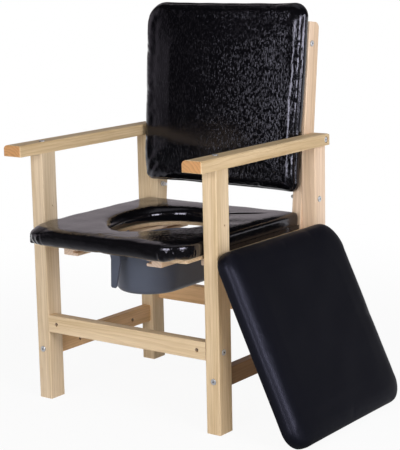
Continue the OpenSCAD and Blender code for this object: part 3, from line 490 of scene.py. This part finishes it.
# %% [markdown]
# ## Grey plastic
# The pan, its grip and the spacers are moulded in one grey. Plastic could be one flat colour, but that
# looks unreal up close. So the colour and the gloss drift a little, as flow marks do, and a fine grain
# roughens the surface.

# %% Make moulded plastic
def moulded_plastic(name, colour):
    """Plastic of one colour with faint flow marks and a fine grain."""
    material, tree, shader = new_material(name)
    grain = even_noise(tree, 1400.0, 2.0)
    flow = even_noise(tree, 14.0, 2.0)
    tint = ramp(tree, flow, (0.3, times(0.9, colour)), (0.7, times(1.07, colour)))
    tree.links.new(tint, shader.inputs["Base Color"])
    tree.links.new(rescale(tree, flow, low=0.34, high=0.46), shader.inputs["Roughness"])
    emboss(tree, shader, grain, 0.08, 0.0003)
    return material


PLASTIC = ["pan", "pan_grip", "grip_rivets", "rail_spacers"]
pan_grey = moulded_plastic("pan_grey", (0.082, 0.094, 0.128))
for node_name in PLASTIC:
    dress(node_name, pan_grey)
print("plastic pieces:", len(PLASTIC))

# %% [markdown]
# ## Vinyl
# All three cushions are covered in black vinyl, in three finishes. The back is glossy with fine upright
# crinkles, which are weaker at the picture's left and on the rolls. The seat is smoother, and
# the loose cover pad is satin and almost plain. The crinkles are too fine to model, so they are bump:
# the skin is flat where a noise is low and rises into a ridge where it is high.

# %% Make black vinyl
ROLL_FROM, ROLL_TO, ROLL_CALM = 0.205, 0.226, 0.42
PORES, PORE_SHARE = 900.0, 0.03
WEAR_CELLS, WEAR = 7.0, 0.05


def thinned(tree, height, from_x, to_x, left_share):
    """Weakens crinkles from to_x down to a share of them at from_x, and again on the rolls."""
    across = add_node(tree, "ShaderNodeSeparateXYZ", Vector=where(tree)).outputs["X"]
    height = arithmetic(tree, "MULTIPLY", height, soft_step(tree, across, from_x, to_x, left_share))
    beside = arithmetic(tree, "ABSOLUTE", across)
    calm = soft_step(tree, beside, ROLL_FROM, ROLL_TO, 1.0, ROLL_CALM)
    return arithmetic(tree, "MULTIPLY", height, calm)


def black_vinyl(name, cells, ridge, depth, rough, gloss, colour, tint, thin=None):
    """Vinyl with sparse ridges.

    cells: noise cells a metre along each axis. ridge: the noise where a ridge begins and where it is
    full. depth: the ridges' height in metres. tint: the colour of what is mirrored."""
    material, tree, shader = new_material(name)
    crinkle = noise_cells(tree, where(tree), cells, 2.0, 0.55).outputs["Fac"]
    ridges = soft_step(tree, crinkle, *ridge)
    height = thinned(tree, ridges, *thin) if thin else ridges
    pores = add_node(tree, "ShaderNodeTexVoronoi", {"feature": "F1"}, Vector=where(tree), Scale=PORES)
    height = arithmetic(tree, "MULTIPLY_ADD", pores.outputs["Distance"], PORE_SHARE, height)
    emboss(tree, shader, height, 1.0, depth)
    tree.links.new(ramp(tree, ridges, (0.0, colour), (0.6, times(1.4, colour))), shader.inputs["Base Color"])
    worn = rescale(tree, even_noise(tree, WEAR_CELLS, 2.0), low=rough - WEAR, high=rough + WEAR)
    tree.links.new(worn, shader.inputs["Roughness"])
    shader.inputs["Specular IOR Level"].default_value = gloss
    shader.inputs["Specular Tint"].default_value = (*tint, 1.0)
    return material


back_vinyl = black_vinyl(
    "back_vinyl", cells=(400.0, 400.0, 98.0), ridge=(0.49, 0.80), depth=0.00048, rough=0.15, gloss=0.62,
    colour=(0.0018, 0.0017, 0.0024), tint=(0.85, 0.84, 1.0), thin=(-0.15, 0.19, 0.35))
seat_vinyl = black_vinyl(
    "seat_vinyl", cells=(160.0, 160.0, 160.0), ridge=(0.45, 0.80), depth=0.00020, rough=0.13, gloss=0.72,
    colour=(0.0030, 0.0028, 0.0034), tint=(0.88, 0.85, 1.0))
cover_vinyl = black_vinyl(
    "cover_vinyl", cells=(420.0, 420.0, 420.0), ridge=(0.40, 0.75), depth=0.00010, rough=0.48, gloss=0.42,
    colour=(0.0016, 0.0019, 0.0038), tint=(0.72, 0.72, 1.0))
print("vinyls:", back_vinyl.name, seat_vinyl.name, cover_vinyl.name)

# %% [markdown]
# ## Cushion shapes
# Each cushion starts as a stack of rings, as if the foam were carved with a template. It could be
# sculpted from a cube instead, but rings are easy to steer: an inset and a height for each. Every ring
# has the same number of points, so neighbouring rings join face by face.

# %% Outline of a cushion
def outline(half, y0, y1, corners, arc=12, run=14):
    """A rounded rectangle as points, anticlockwise.

    corners: radii at the right low, right high, left high and left low corner."""
    a, b, c, d = corners
    turns = [(half - a, y0 + a, a), (half - b, y1 - b, b), (-half + c, y1 - c, c), (-half + d, y0 + d, d)]
    points = []
    for number, (cx, cy, r) in enumerate(turns):
        start = -90 + 90 * number
        for step in range(arc + 1):
            angle = math.radians(start + 90 * step / arc)
            points.append(Vector((cx + r * math.cos(angle), cy + r * math.sin(angle))))
        nx, ny, nr = turns[(number + 1) % 4]
        angle = math.radians(start + 90)
        following = Vector((nx + nr * math.cos(angle), ny + nr * math.sin(angle)))
        last = points[-1]
        points += [last.lerp(following, step / run) for step in range(1, run)]
    return points


def rim_inset(x, y, half, y0, y1, corners):
    """How far a point lies inside that rounded rectangle, and the direction straight out of it."""
    high, right_side = y > (y0 + y1) / 2, x > 0
    r = corners[1 if high and right_side else 2 if high else 0 if right_side else 3]
    across, along = half - abs(x), (y1 - y) if high else (y - y0)
    sx, sy = math.copysign(1.0, x), 1.0 if high else -1.0
    if across < r and along < r:
        reach = math.hypot(r - across, r - along)
        return r - reach, (sx * (r - across) / max(reach, 1e-6), sy * (r - along) / max(reach, 1e-6))
    return (across, (sx, 0.0)) if across < along else (along, (0.0, sy))


print("points round an outline:", len(outline(1.0, -1.0, 1.0, (0.1, 0.1, 0.1, 0.1))))

# %% Skin between rings
def skin_rings(name, rings, closed):
    """A mesh from rings of equal length. closed joins the last ring to the first, else both are capped."""
    mesh = bpy.data.meshes.new(name)
    built = bmesh.new()
    rows = [[built.verts.new(p) for p in ring] for ring in rings]
    count = len(rows[0])
    pairs = list(zip(rows, rows[1:])) + ([(rows[-1], rows[0])] if closed else [])
    for lower, upper in pairs:
        for k in range(count):
            built.faces.new((lower[k], lower[(k + 1) % count], upper[(k + 1) % count], upper[k]))
    if not closed:
        for row, flip in ((rows[0], True), (rows[-1], False)):
            middle = built.verts.new(sum((v.co for v in row), Vector()) / count)
            for k in range(count):
                a, b = row[k], row[(k + 1) % count]
                built.faces.new((b, a, middle) if flip else (a, b, middle))
    bmesh.ops.recalc_face_normals(built, faces=built.faces)
    built.to_mesh(mesh)
    built.free()
    piece = bpy.data.objects.new(name, mesh)
    scene.collection.objects.link(piece)
    return piece


def settle(piece):
    """Applies every modifier by taking the finished mesh."""
    shown = piece.evaluated_get(bpy.context.evaluated_depsgraph_get())
    finished = bpy.data.meshes.new_from_object(shown)
    piece.modifiers.clear()
    piece.data = finished


print("ring helpers are ready")

# %% [markdown]
# ## Stuffing
# Real cushions are foam that pushes out against a stretched skin. Rings alone look carved, so a short
# cloth simulation blows the skin up with air pressure, which rounds it as stuffing does. Cloth needs
# faces of even size, so the skin is remeshed first. The push on each point is limited. Cloth also
# pulls the edges in, so the cushion's width and length are set back afterwards.

# %% Puff with cloth
PUFF_FRAMES = 20
AIR_PRESSURE = 4.0
STRETCH_STIFFNESS, FOLD_STIFFNESS = 15.0, 2.0


def remesh(piece, size):
    """Rebuilds the skin from even faces."""
    modifier = piece.modifiers.new("even_faces", "REMESH")
    modifier.mode = "VOXEL"
    modifier.voxel_size = size
    settle(piece)


def blown_up(piece):
    """Where the points of a piece go under air pressure."""
    cloth = piece.modifiers.new("stuffing", "CLOTH")
    cloth.settings.use_pressure = True
    cloth.settings.uniform_pressure_force = AIR_PRESSURE
    cloth.settings.effector_weights.gravity = 0.0
    cloth.settings.tension_stiffness = STRETCH_STIFFNESS
    cloth.settings.compression_stiffness = STRETCH_STIFFNESS
    cloth.settings.bending_stiffness = FOLD_STIFFNESS
    cloth.point_cache.frame_end = PUFF_FRAMES
    for number in range(1, PUFF_FRAMES + 1):
        scene.frame_set(number)
    shown = piece.evaluated_get(bpy.context.evaluated_depsgraph_get())
    places = [v.co.copy() for v in shown.data.vertices]
    piece.modifiers.clear()
    scene.frame_set(1)
    return places


def puff(piece, most, voxel=0.005):
    """Inflates a cushion, pushing no point further than most, and keeps its width and length.
"""
    remesh(piece, voxel)
    before = [v.co.copy() for v in piece.data.vertices]
    after = blown_up(piece)
    for vertex, start, stop in zip(piece.data.vertices, before, after):
        step = stop - start
        if step.length > most:
            step *= most / step.length
        vertex.co = start + step
    for axis in (0, 1):
        low, high = min(p[axis] for p in before), max(p[axis] for p in before)
        now = [v.co[axis] for v in piece.data.vertices]
        start, grow = min(now), (high - low) / (max(now) - min(now))
        for vertex in piece.data.vertices:
            vertex.co[axis] = low + (vertex.co[axis] - start) * grow
    print(piece.name, "puffed, its top is now at", round(max(v.co.z for v in piece.data.vertices), 4), "m")


print("stuffing helper is ready")

# %% Round, bend and cut
def smooth_out(piece):
    """One subdivision, which rounds the small steps of the even faces."""
    modifier = piece.modifiers.new("smoother", "SUBSURF")
    modifier.levels = modifier.render_levels = 1
    settle(piece)


def shape_points(piece, rule):
    """Moves every point of a piece by a rule from its old place to its new one."""
    for vertex in piece.data.vertices:
        vertex.co = rule(vertex.co)


def cut_recess(piece, half, y0, y1, corners, depth):
    """Cuts the recess for a board in the back of a cushion that lies face up."""
    points = outline(half, y0, y1, corners, run=2)
    cutter = skin_rings("recess_cutter", [[(p.x, p.y, z) for p in points] for z in (-0.01, depth)], False)
    modifier = piece.modifiers.new("recess", "BOOLEAN")
    modifier.operation = "DIFFERENCE"
    modifier.solver = "EXACT"
    modifier.object = cutter
    bpy.context.view_layer.update()
    settle(piece)
    bpy.data.objects.remove(cutter)


def ripple(point, size, amount, seed):
    """A soft random height at a point, the same on every run."""
    return amount * noise.noise(Vector((point[0] / size, point[1] / size, point[2] / size + seed)))


def ease(value, low, high):
    """0 below low, 1 above high and a soft step between."""
    t = max(0.0, min(1.0, (value - low) / (high - low)))
    return t * t * (3 - 2 * t)


print("bending and cutting helpers are ready")

# %% [markdown]
# ## Back cushion
# The back cushion is a glossy slab with a crown. Its front panel rolls over into a seam, and the side
# panel behind the seam bulges again. Each roll catches the light as one long line with a dark crease
# between them. Bump couldn't bend the outline, so the rolls are modelled, and they waver a little, as
# pulled vinyl does. Its four corners aren't alike: the upper one at the picture's left is the roundest.

# %% Form the back cushion lying face up
BOARD_IN = 0.014
SOFT_GAP = 0.0003
RECESS_DEPTH = 0.0093
BACK_HALF = 0.2471
BACK_LOW, BACK_HIGH = 0.521, 1.001
BACK_EDGE, BACK_CROWN = 0.034, 0.015
BACK_CORNERS = (0.022, 0.036, 0.058, 0.020)
BACK_SHY = 0.0015


def shrunk(corners, inset, half):
    """Corner radii of a smaller ring."""
    return [r * (1 - inset / half) for r in corners]


def cushion_form(name, half, y0, y1, corners, rows):
    """A slab from rows of an inset and a height each."""
    rings = []
    for inset, height in rows:
        ring = outline(half - inset, y0 + inset, y1 - inset, shrunk(corners, inset, half))
        rings.append([(p.x, p.y, height) for p in ring])
    return skin_rings(name, rings, False)


def crown_rows(edge, crown, shy):
    """Insets and heights from the back rim over the side to the crown.

    shy: how much the form starts too small, for the stuffing to fill."""
    return [
        (0.010, SOFT_GAP), (0.0035 + shy, 0.0023), (0.0010 + shy, 0.0063), (shy, 0.0123),
        (shy, edge - 0.012), (0.0012 + shy, edge - 0.0065), (0.0045 + shy, edge - 0.0024),
        (0.010 + shy, edge - shy), (0.024, edge + crown * 0.26), (0.052, edge + crown * 0.56),
        (0.100, edge + crown * 0.86), (0.170, edge + crown - shy),
    ]


back_rows = crown_rows(BACK_EDGE, BACK_CROWN, BACK_SHY)
back_cushion = cushion_form("back_cushion", BACK_HALF, BACK_LOW, BACK_HIGH, BACK_CORNERS, back_rows)
puff(back_cushion, 0.006, voxel=0.004)
print("back cushion rings:", len(back_rows))

# %% Rolls, seam and puckers of the back cushion
ARM_CLEAR = 0.684
SEAM_AT, SEAM_WIDE, SEAM_DEEP = 0.0285, 0.0021, 0.0032
BULGE_FROM, BULGE_TALL, BULGE_OUT, BULGE_WAVER = 0.007, 0.020, 0.0010, 0.0009
ROLL_RISE, ROLL_WAVER = 0.0034, 0.0012
PUCKER_DEEP, PUCKERS = 0.0016, 34.0
SWELL_OUT, SWELL_TALL = 0.0045, 0.44
TAPER_IN, TAPER_TALL = 0.0100, 0.100
FULL_SIDE = 0.2


def back_detail(p):
    """Front roll, seam, bulging side, puckered corner and the swell above the armrests."""
    x, y, z = p
    inset, (out_x, out_y) = rim_inset(x, y, BACK_HALF, BACK_LOW, BACK_HIGH, BACK_CORNERS)
    at_side = 1.0 - ease(inset, 0.004, 0.012)
    front = ease(z, 0.026, 0.034)
    wave = ripple(p, 0.055, 1.0, 3.1)
    seam = math.exp(-((z - SEAM_AT) / SEAM_WIDE) ** 2) * at_side
    bulge = math.sin(math.pi * max(0.0, min(1.0, (z - BULGE_FROM) / BULGE_TALL))) * at_side
    push = -SEAM_DEEP * seam + (BULGE_OUT + BULGE_WAVER * wave) * bulge
    x += out_x * push
    y += out_y * push
    roll = ease(inset, 0.002, 0.012) * (1.0 - ease(inset, 0.014, 0.050))
    z += (ROLL_RISE + ROLL_WAVER * wave) * roll * front
    z += ripple(p, 0.090, 0.0016, 6.0) * front * ease(inset, 0.01, 0.05)
    z += ripple(p, 0.016, 0.0005, 8.4) * front * (1.0 - ease(inset, 0.03, 0.08))
    if x < -0.10 and y < 0.62:
        fan = math.atan2(y - (BACK_LOW - 0.06), x + 0.30)
        reach = ease(-x, 0.10, 0.19) * (1.0 - ease(y, 0.54, 0.62)) * front
        z -= PUCKER_DEEP * reach * (0.5 + 0.5 * math.sin(fan * PUCKERS + 3.0 * wave))
    if y > ARM_CLEAR:
        rise = math.sin(min(math.pi, math.pi * (y - ARM_CLEAR) / SWELL_TALL))
        x += math.copysign(SWELL_OUT, x) * rise * min(1.0, abs(x) / FULL_SIDE)
    if x < 0.0:
        taper = 1.0 - ease(y, BACK_LOW + 0.005, BACK_LOW + TAPER_TALL)
        x += TAPER_IN * taper * min(1.0, abs(x) / FULL_SIDE)
    z = max(z, SOFT_GAP)
    if y < ARM_CLEAR + 0.004:
        x = max(-BACK_HALF, min(BACK_HALF, x))
    return Vector((x, y, z))


smooth_out(back_cushion)
shape_points(back_cushion, back_detail)
print("back cushion height lying down:", round(max(v.co.z for v in back_cushion.data.vertices), 4), "m")

# %% Cut the recess for the back board
BACK_BOARD_CORNERS = (0.024, 0.045, 0.045, 0.024)
board_corners = [r + SOFT_GAP for r in shrunk(BACK_BOARD_CORNERS, BOARD_IN, BACK_HALF)]
cut_recess(back_cushion, BACK_HALF - BOARD_IN + SOFT_GAP, BACK_LOW + BOARD_IN - SOFT_GAP,
           BACK_HIGH - BOARD_IN + SOFT_GAP, board_corners, RECESS_DEPTH)
print("back cushion faces:", len(back_cushion.data.polygons))

# %% [markdown]
# ## From the bench to the chair
# A cushion is easiest to shape lying flat, like on an upholsterer's bench. It could be turned as an
# object, but turning its points keeps the object's own axes in line with the chair's, so the crinkles
# of the vinyl stay upright. Each cushion then rides on its body and stands in for the plain solid.

# %% Stand the back cushion up on its plane
BACK_FOOT_Y = 0.1388
FOLD_ANGLE = math.radians(40.0)


def stand_up(piece, matrix, material, node_name, body):
    """Turns the flat piece into place and ties it to the chair."""
    piece.data.transform(matrix)
    piece.data.materials.clear()
    piece.data.materials.append(material)
    piece.data.shade_smooth()
    piece.data.set_sharp_from_angle(angle=FOLD_ANGLE)
    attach(piece, body)
    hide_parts(node_name)


back_matrix = (Matrix.Translation((0.0, BACK_FOOT_Y, 0.0)) @ Matrix.Rotation(-BACK_LEAN, 4, "X")
               @ Matrix.Rotation(math.radians(90.0), 4, "X"))
stand_up(back_cushion, back_matrix, back_vinyl, "back_pad", "frame")
print("back cushion leans", round(math.degrees(BACK_LEAN), 1), "degrees")

# %% [markdown]
# ## Seat cushion
# The seat is a thick ring of foam with an egg-shaped hole, narrow to the front. The hole could be cut
# out of a slab, but the skin goes over the edge and into the hole in one soft roll. So it is built as
# rings too, and the last ring joins the first, with no cap. The front edge is tight on top and rounds
# back underneath.

# %% Shape of the hole
HOLE_Y = -0.051
HOLE_HALF, HOLE_FRONT, HOLE_REAR = 0.122, 0.185, 0.139
HOLE_ROLL_SIDE, HOLE_ROLL_END = 0.029, 0.013
POINTED, ROUND = 1.7, 2.2


def egg(angle, level):
    """A point of the hole's edge: level 0 is on top of the roll, 1 at its narrowest."""
    front = math.sin(angle) < 0
    wide = HOLE_HALF + HOLE_ROLL_SIDE * (1 - level)
    long = (HOLE_FRONT if front else HOLE_REAR) + HOLE_ROLL_END * (1 - level)
    power = POINTED if front else ROUND
    across, ahead = (abs(math.cos(angle)) / wide) ** power, (abs(math.sin(angle)) / long) ** power
    reach = (across + ahead) ** (-1 / power)
    return Vector((reach * math.cos(angle), HOLE_Y + reach * math.sin(angle)))


print("hole:", 2 * HOLE_HALF, "m by", HOLE_FRONT + HOLE_REAR, "m")

# %% Rings of the seat
SEAT_TOP, SEAT_UNDER = 0.470, 0.432
SEAT_HALF = 0.2471
SEAT_FRONT, SEAT_REAR = -0.337, 0.1822
SEAT_CORNER, SEAT_REAR_CORNER = 0.071, 0.012


def seat_ring(side, front, inward, level, height):
    """One ring. side and front are insets, inward is the share of the way to the hole."""
    ring = []
    r_front, r_rear = max(0.006, SEAT_CORNER - side), max(0.004, SEAT_REAR_CORNER - side)
    corners = (r_front, r_rear, r_rear, r_front)
    for p in outline(SEAT_HALF - side, SEAT_FRONT + front, SEAT_REAR - side, corners):
        hole = egg(math.atan2(p.y - HOLE_Y, p.x), level)
        point = p.lerp(hole, inward)
        ring.append((point.x, point.y, height))
    return ring


seat_rows = [
    (0.0060, 0.0260, 0, 0, 0.4322), (0.0022, 0.0135, 0, 0, 0.4340), (0.0012, 0.0055, 0, 0, 0.4390),
    (0.0010, 0.0012, 0, 0, 0.4450), (0.0010, 0.0002, 0, 0, 0.4540), (0.0012, 0.0004, 0, 0, 0.4615),
    (0.0030, 0.0022, 0, 0, 0.4664), (0.0075, 0.0065, 0, 0, 0.4688), (0.0150, 0.0140, 0.08, 0, 0.4694),
    (0.016, 0.016, 0.45, 0, 0.4696), (0.0, 0.0, 0.85, 0, 0.4692), (0.0, 0.0, 1, 0, 0.4686),
    (0.0, 0.0, 1, 0.38, 0.4670), (0.0, 0.0, 1, 0.71, 0.4628), (0.0, 0.0, 1, 0.92, 0.4570),
    (0.0, 0.0, 1, 1.0, 0.4505), (0.0, 0.0, 1, 0.92, 0.4400), (0.0, 0.0, 1, 0.72, 0.4322),
]
seat_cushion = skin_rings("seat_cushion", [seat_ring(*row) for row in seat_rows], True)
puff(seat_cushion, 0.003)
print("seat rings:", len(seat_rows))

# %% [markdown]
# ## Folds of the seat
# The seat isn't as even as its rings. Its skin is creased behind the hole, gathered in small pleats at
# the front corners, pulled down over the board at the front and lower at the front left tip. Each is
# one rule that moves points by a little and fades out at its ends, so they can overlap.

# %% Rules for the folds
CREASE_FROM, CREASE_TO = 0.09, 0.20
CREASE_X, CREASE_Y, CREASE_SLOPE = 0.112, 0.062, 0.58
CREASE_DEEP, RIDGE_HIGH, RIDGE_BEHIND = 0.0022, 0.0010, 0.012
DROOP, HANG, SPREAD = 0.0105, 0.0062, 0.0030
PLEAT, PLEATS = 0.0011, 24.0
CORNER_X, CORNER_Y = SEAT_HALF - SEAT_CORNER, SEAT_FRONT + SEAT_CORNER
SEAT_CORNERS = (SEAT_CORNER, SEAT_REAR_CORNER, SEAT_REAR_CORNER, SEAT_CORNER)
HANG_FROM = 0.3055
WIDE_FROM, WIDE_FULL = 0.243, 0.262
BETWEEN_LEGS_Y = -0.2425


def crease(x, y):
    """A fold that slants away behind the hole, with a low ridge behind it."""
    if not CREASE_FROM < x < CREASE_TO:
        return 0.0
    behind = y - (CREASE_Y + CREASE_SLOPE * (x - CREASE_X))
    fade = math.sin(math.pi * (x - CREASE_FROM) / (CREASE_TO - CREASE_FROM))
    fold = math.exp(-(behind / 0.0040) ** 2)
    ridge = math.exp(-((behind - RIDGE_BEHIND) / 0.0080) ** 2)
    return fade * (RIDGE_HIGH * ridge - CREASE_DEEP * fold)


def droop(x, y, z):
    """How much the front left tip hangs down."""
    if x >= -0.12:
        return 0.0
    inset, _ = rim_inset(x, y, SEAT_HALF, SEAT_FRONT, SEAT_REAR, SEAT_CORNERS)
    edge = 1.0 - ease(inset, -0.002, 0.030)
    return DROOP * edge * ease(-x, 0.13, 0.20) * ease(-y, 0.236, 0.262) * ease(z, 0.440, 0.462)


def pleat(x, y, z):
    """How far the gathered skin of a front corner goes out, and in which direction."""
    if abs(x) <= CORNER_X or y >= CORNER_Y:
        return 0.0, 0.0
    around = math.atan2(CORNER_Y - y, abs(x) - CORNER_X)
    radial = math.hypot(abs(x) - CORNER_X, CORNER_Y - y) / SEAT_CORNER
    low_side = (1.0 - ease(z, 0.446, 0.458)) * ease(radial, 0.70, 0.9)
    out = PLEAT * math.sin(around * PLEATS) * low_side
    return math.copysign(math.cos(around) * out, x), -math.sin(around) * out


def hang(p, z):
    """How much the skin is pulled down over the board's front edge and left corner."""
    beside = abs(p[0]) - SEAT_HALF - 0.0002 if p[1] < -WIDE_FULL else -1.0
    outside = max(-p[1] - HANG_FROM, beside)
    pulled = ease(outside, 0.0, 0.0035) * (1.0 - ease(p[0], 0.185, 0.215))
    return HANG * pulled * (1.0 - ease(z, 0.436, 0.455))


print("folds: crease", CREASE_DEEP, "droop", DROOP, "pleats", PLEAT, "hang", HANG, "m")

# %% Fold the seat
def seat_detail(p):
    """Soft waves and all folds of the seat, kept clear of the frame."""
    x, y, z = p
    on_top = ease(z, 0.455, 0.465)
    z += ripple(p, 0.060, 0.0010, 5.2) * on_top
    z += crease(x, y) * on_top
    z -= droop(x, y, z)
    x += math.copysign(SPREAD, x) * ease(-y, WIDE_FROM, WIDE_FULL) * min(1.0, abs(x) / FULL_SIDE)
    out_x, out_y = pleat(x, y, z)
    x += out_x
    y += out_y
    if y < -0.30:
        y += ripple((p[0], 0.0, 0.0), 0.035, 0.0012, 2.7) * (1.0 - ease(z, 0.440, 0.452))
    z = min(max(z, SEAT_UNDER + 0.0002), SEAT_TOP + 0.004)
    z -= hang(p, z)
    if y > BETWEEN_LEGS_Y:
        x = max(-SEAT_HALF, min(SEAT_HALF, x))
    y = min(SEAT_REAR + 0.0001, y)
    return Vector((x, y, z))


smooth_out(seat_cushion)
shape_points(seat_cushion, seat_detail)
print("seat cushion top:", round(max(v.co.z for v in seat_cushion.data.vertices), 4), "m")

# %% [markdown]
# ## Hems of the seat
# The vinyl is drawn down over the board's edge and tacked under it, so the picture shows no plywood
# except at the front right. The cushion could be made deeper there, but a thin strip of its own follows
# the board's square corner better. It waves a little at its lower edge and joins the cushion's mesh.

# %% Hems along the board
HEM_X, HEM_Y, HEM_R = 0.2440, -0.3030, 0.009
HEM_LOW, HEM_TOP = 0.4246, 0.4365
HEM_REAR, SIDE_STEP, FRONT_STEP, TURN_STEPS = 0.178, 0.0094, 0.010, 8


def hem_strip(name, path):
    """The hanging vinyl along points that each come with the direction out of the board."""
    rings = []
    for x, y, out_x, out_y in path:
        low_z = HEM_LOW + ripple((x, y, 0.0), 0.03, 0.0006, 9.3)
        section = [(0.0, low_z), (0.0012, low_z - 0.0003), (0.0022, low_z + 0.0006),
                   (0.0025, low_z + 0.003), (0.0022, HEM_TOP), (0.0, HEM_TOP)]
        rings.append([(x + out_x * out, y + out_y * out, z) for out, z in section])
    return skin_rings(name, rings, False)


def join_into(piece, extra):
    """Adds one piece's faces to another's and removes it."""
    built = bmesh.new()
    built.from_mesh(piece.data)
    built.from_mesh(extra.data)
    built.to_mesh(piece.data)
    built.free()
    bpy.data.objects.remove(extra)


right_path = [(HEM_X, HEM_REAR - SIDE_STEP * step, 1.0, 0.0) for step in range(45)]
left_path = [(-HEM_X, HEM_REAR - SIDE_STEP * step, -1.0, 0.0) for step in range(51)]
for step in range(TURN_STEPS + 1):
    turn = math.radians(90.0 * step / TURN_STEPS)
    out_x, out_y = -math.cos(turn), -math.sin(turn)
    left_path.append((-HEM_X + HEM_R + HEM_R * out_x, HEM_Y + HEM_R + HEM_R * out_y, out_x, out_y))
left_path += [(-HEM_X + HEM_R + FRONT_STEP * step, HEM_Y, 0.0, -1.0) for step in range(1, 11)]
join_into(seat_cushion, hem_strip("hem_right", right_path))
join_into(seat_cushion, hem_strip("hem_left", left_path))
stand_up(seat_cushion, Matrix.Identity(4), seat_vinyl, "seat_pad", "frame")
print("seat cushion faces:", len(seat_cushion.data.polygons))

# %% [markdown]
# ## Loose cover pad
# The cover pad lies over the hole when the chair is used as a plain seat. In the picture it leans on
# the chair's side, standing on one edge. It could share the back cushion's rows, but its rim is softer
# and its face flatter, so it has its own. Its satin skin has no crease. The corner at the upper rear is
# rounder than the one at the upper front.

# %% Build the cover pad
COVER_HALF, COVER_LENGTH = 0.247, 0.485
COVER_EDGE, COVER_CROWN = 0.043, 0.006
COVER_CORNERS = (0.050, 0.072, 0.040, 0.050)
COVER_BOARD_CORNERS = (0.050, 0.050, 0.050, 0.050)
cover_rows = [
    (0.010, SOFT_GAP), (0.0037, 0.0023), (0.0012, 0.0063), (0.0003, 0.0123), (0.0003, COVER_EDGE - 0.018),
    (0.0012, COVER_EDGE - 0.0125), (0.0045, COVER_EDGE - 0.0068), (0.0105, COVER_EDGE - 0.0024),
    (0.0215, COVER_EDGE + 0.0008), (0.0400, COVER_EDGE + 0.0030), (0.0800, COVER_EDGE + 0.0048),
    (0.1700, COVER_EDGE + COVER_CROWN - 0.0012),
]


def cover_detail(p):
    """Soft waves on the face, and a gap to the board behind."""
    x, y, z = p
    z += ripple(p, 0.08, 0.0010, 1.7) * (1.0 if z > 0.02 else 0.0)
    return Vector((x, y, max(z, SOFT_GAP)))


cover_cushion = cushion_form("cover_cushion", COVER_HALF, 0.0, COVER_LENGTH, COVER_CORNERS, cover_rows)
puff(cover_cushion, 0.0025)
smooth_out(cover_cushion)
shape_points(cover_cushion, cover_detail)
board_corners = [r + SOFT_GAP for r in shrunk(COVER_BOARD_CORNERS, BOARD_IN, COVER_HALF)]
cut_recess(cover_cushion, COVER_HALF - BOARD_IN + SOFT_GAP, BOARD_IN - SOFT_GAP,
           COVER_LENGTH - BOARD_IN + SOFT_GAP, board_corners, RECESS_DEPTH)
print("cover pad faces:", len(cover_cushion.data.polygons))

# %% [markdown]
# ## Leaning
# The pad's lowest hem point touches the floor and its upper hem touches the leg. Its foot could be found
# by trial, but those two touches give it by plain geometry, so the pad neither sinks in nor floats.

# %% Lean the cover pad on the chair
LEG_OUTER_X = 0.2875
COVER_FORWARD = 0.0178
COVER_HEM = [(0.009, 0.0003), (0.0035, 0.0023), (0.0008, 0.0063), (0.0, 0.0123)]
lean_sin, lean_cos = math.sin(COVER_TILT), math.cos(COVER_TILT)
top_reach = min(a * lean_sin + b * lean_cos for a, b in COVER_HEM)
foot_x = LEG_OUTER_X + SOFT_GAP + COVER_LENGTH * lean_sin - top_reach
foot_z = SOFT_GAP - min(a * lean_cos + b * lean_sin for a, b in COVER_HEM)
cover_matrix = (Matrix.Translation((foot_x, -COVER_FORWARD, foot_z)) @ Matrix.Rotation(-COVER_TILT, 4, "Y")
                @ Matrix.Rotation(math.radians(90.0), 4, "Z") @ Matrix.Rotation(math.radians(90.0), 4, "X"))
stand_up(cover_cushion, cover_matrix, cover_vinyl, "cover_pad", "cover")
print("cover pad foot at", round(foot_x, 4), round(foot_z, 4))
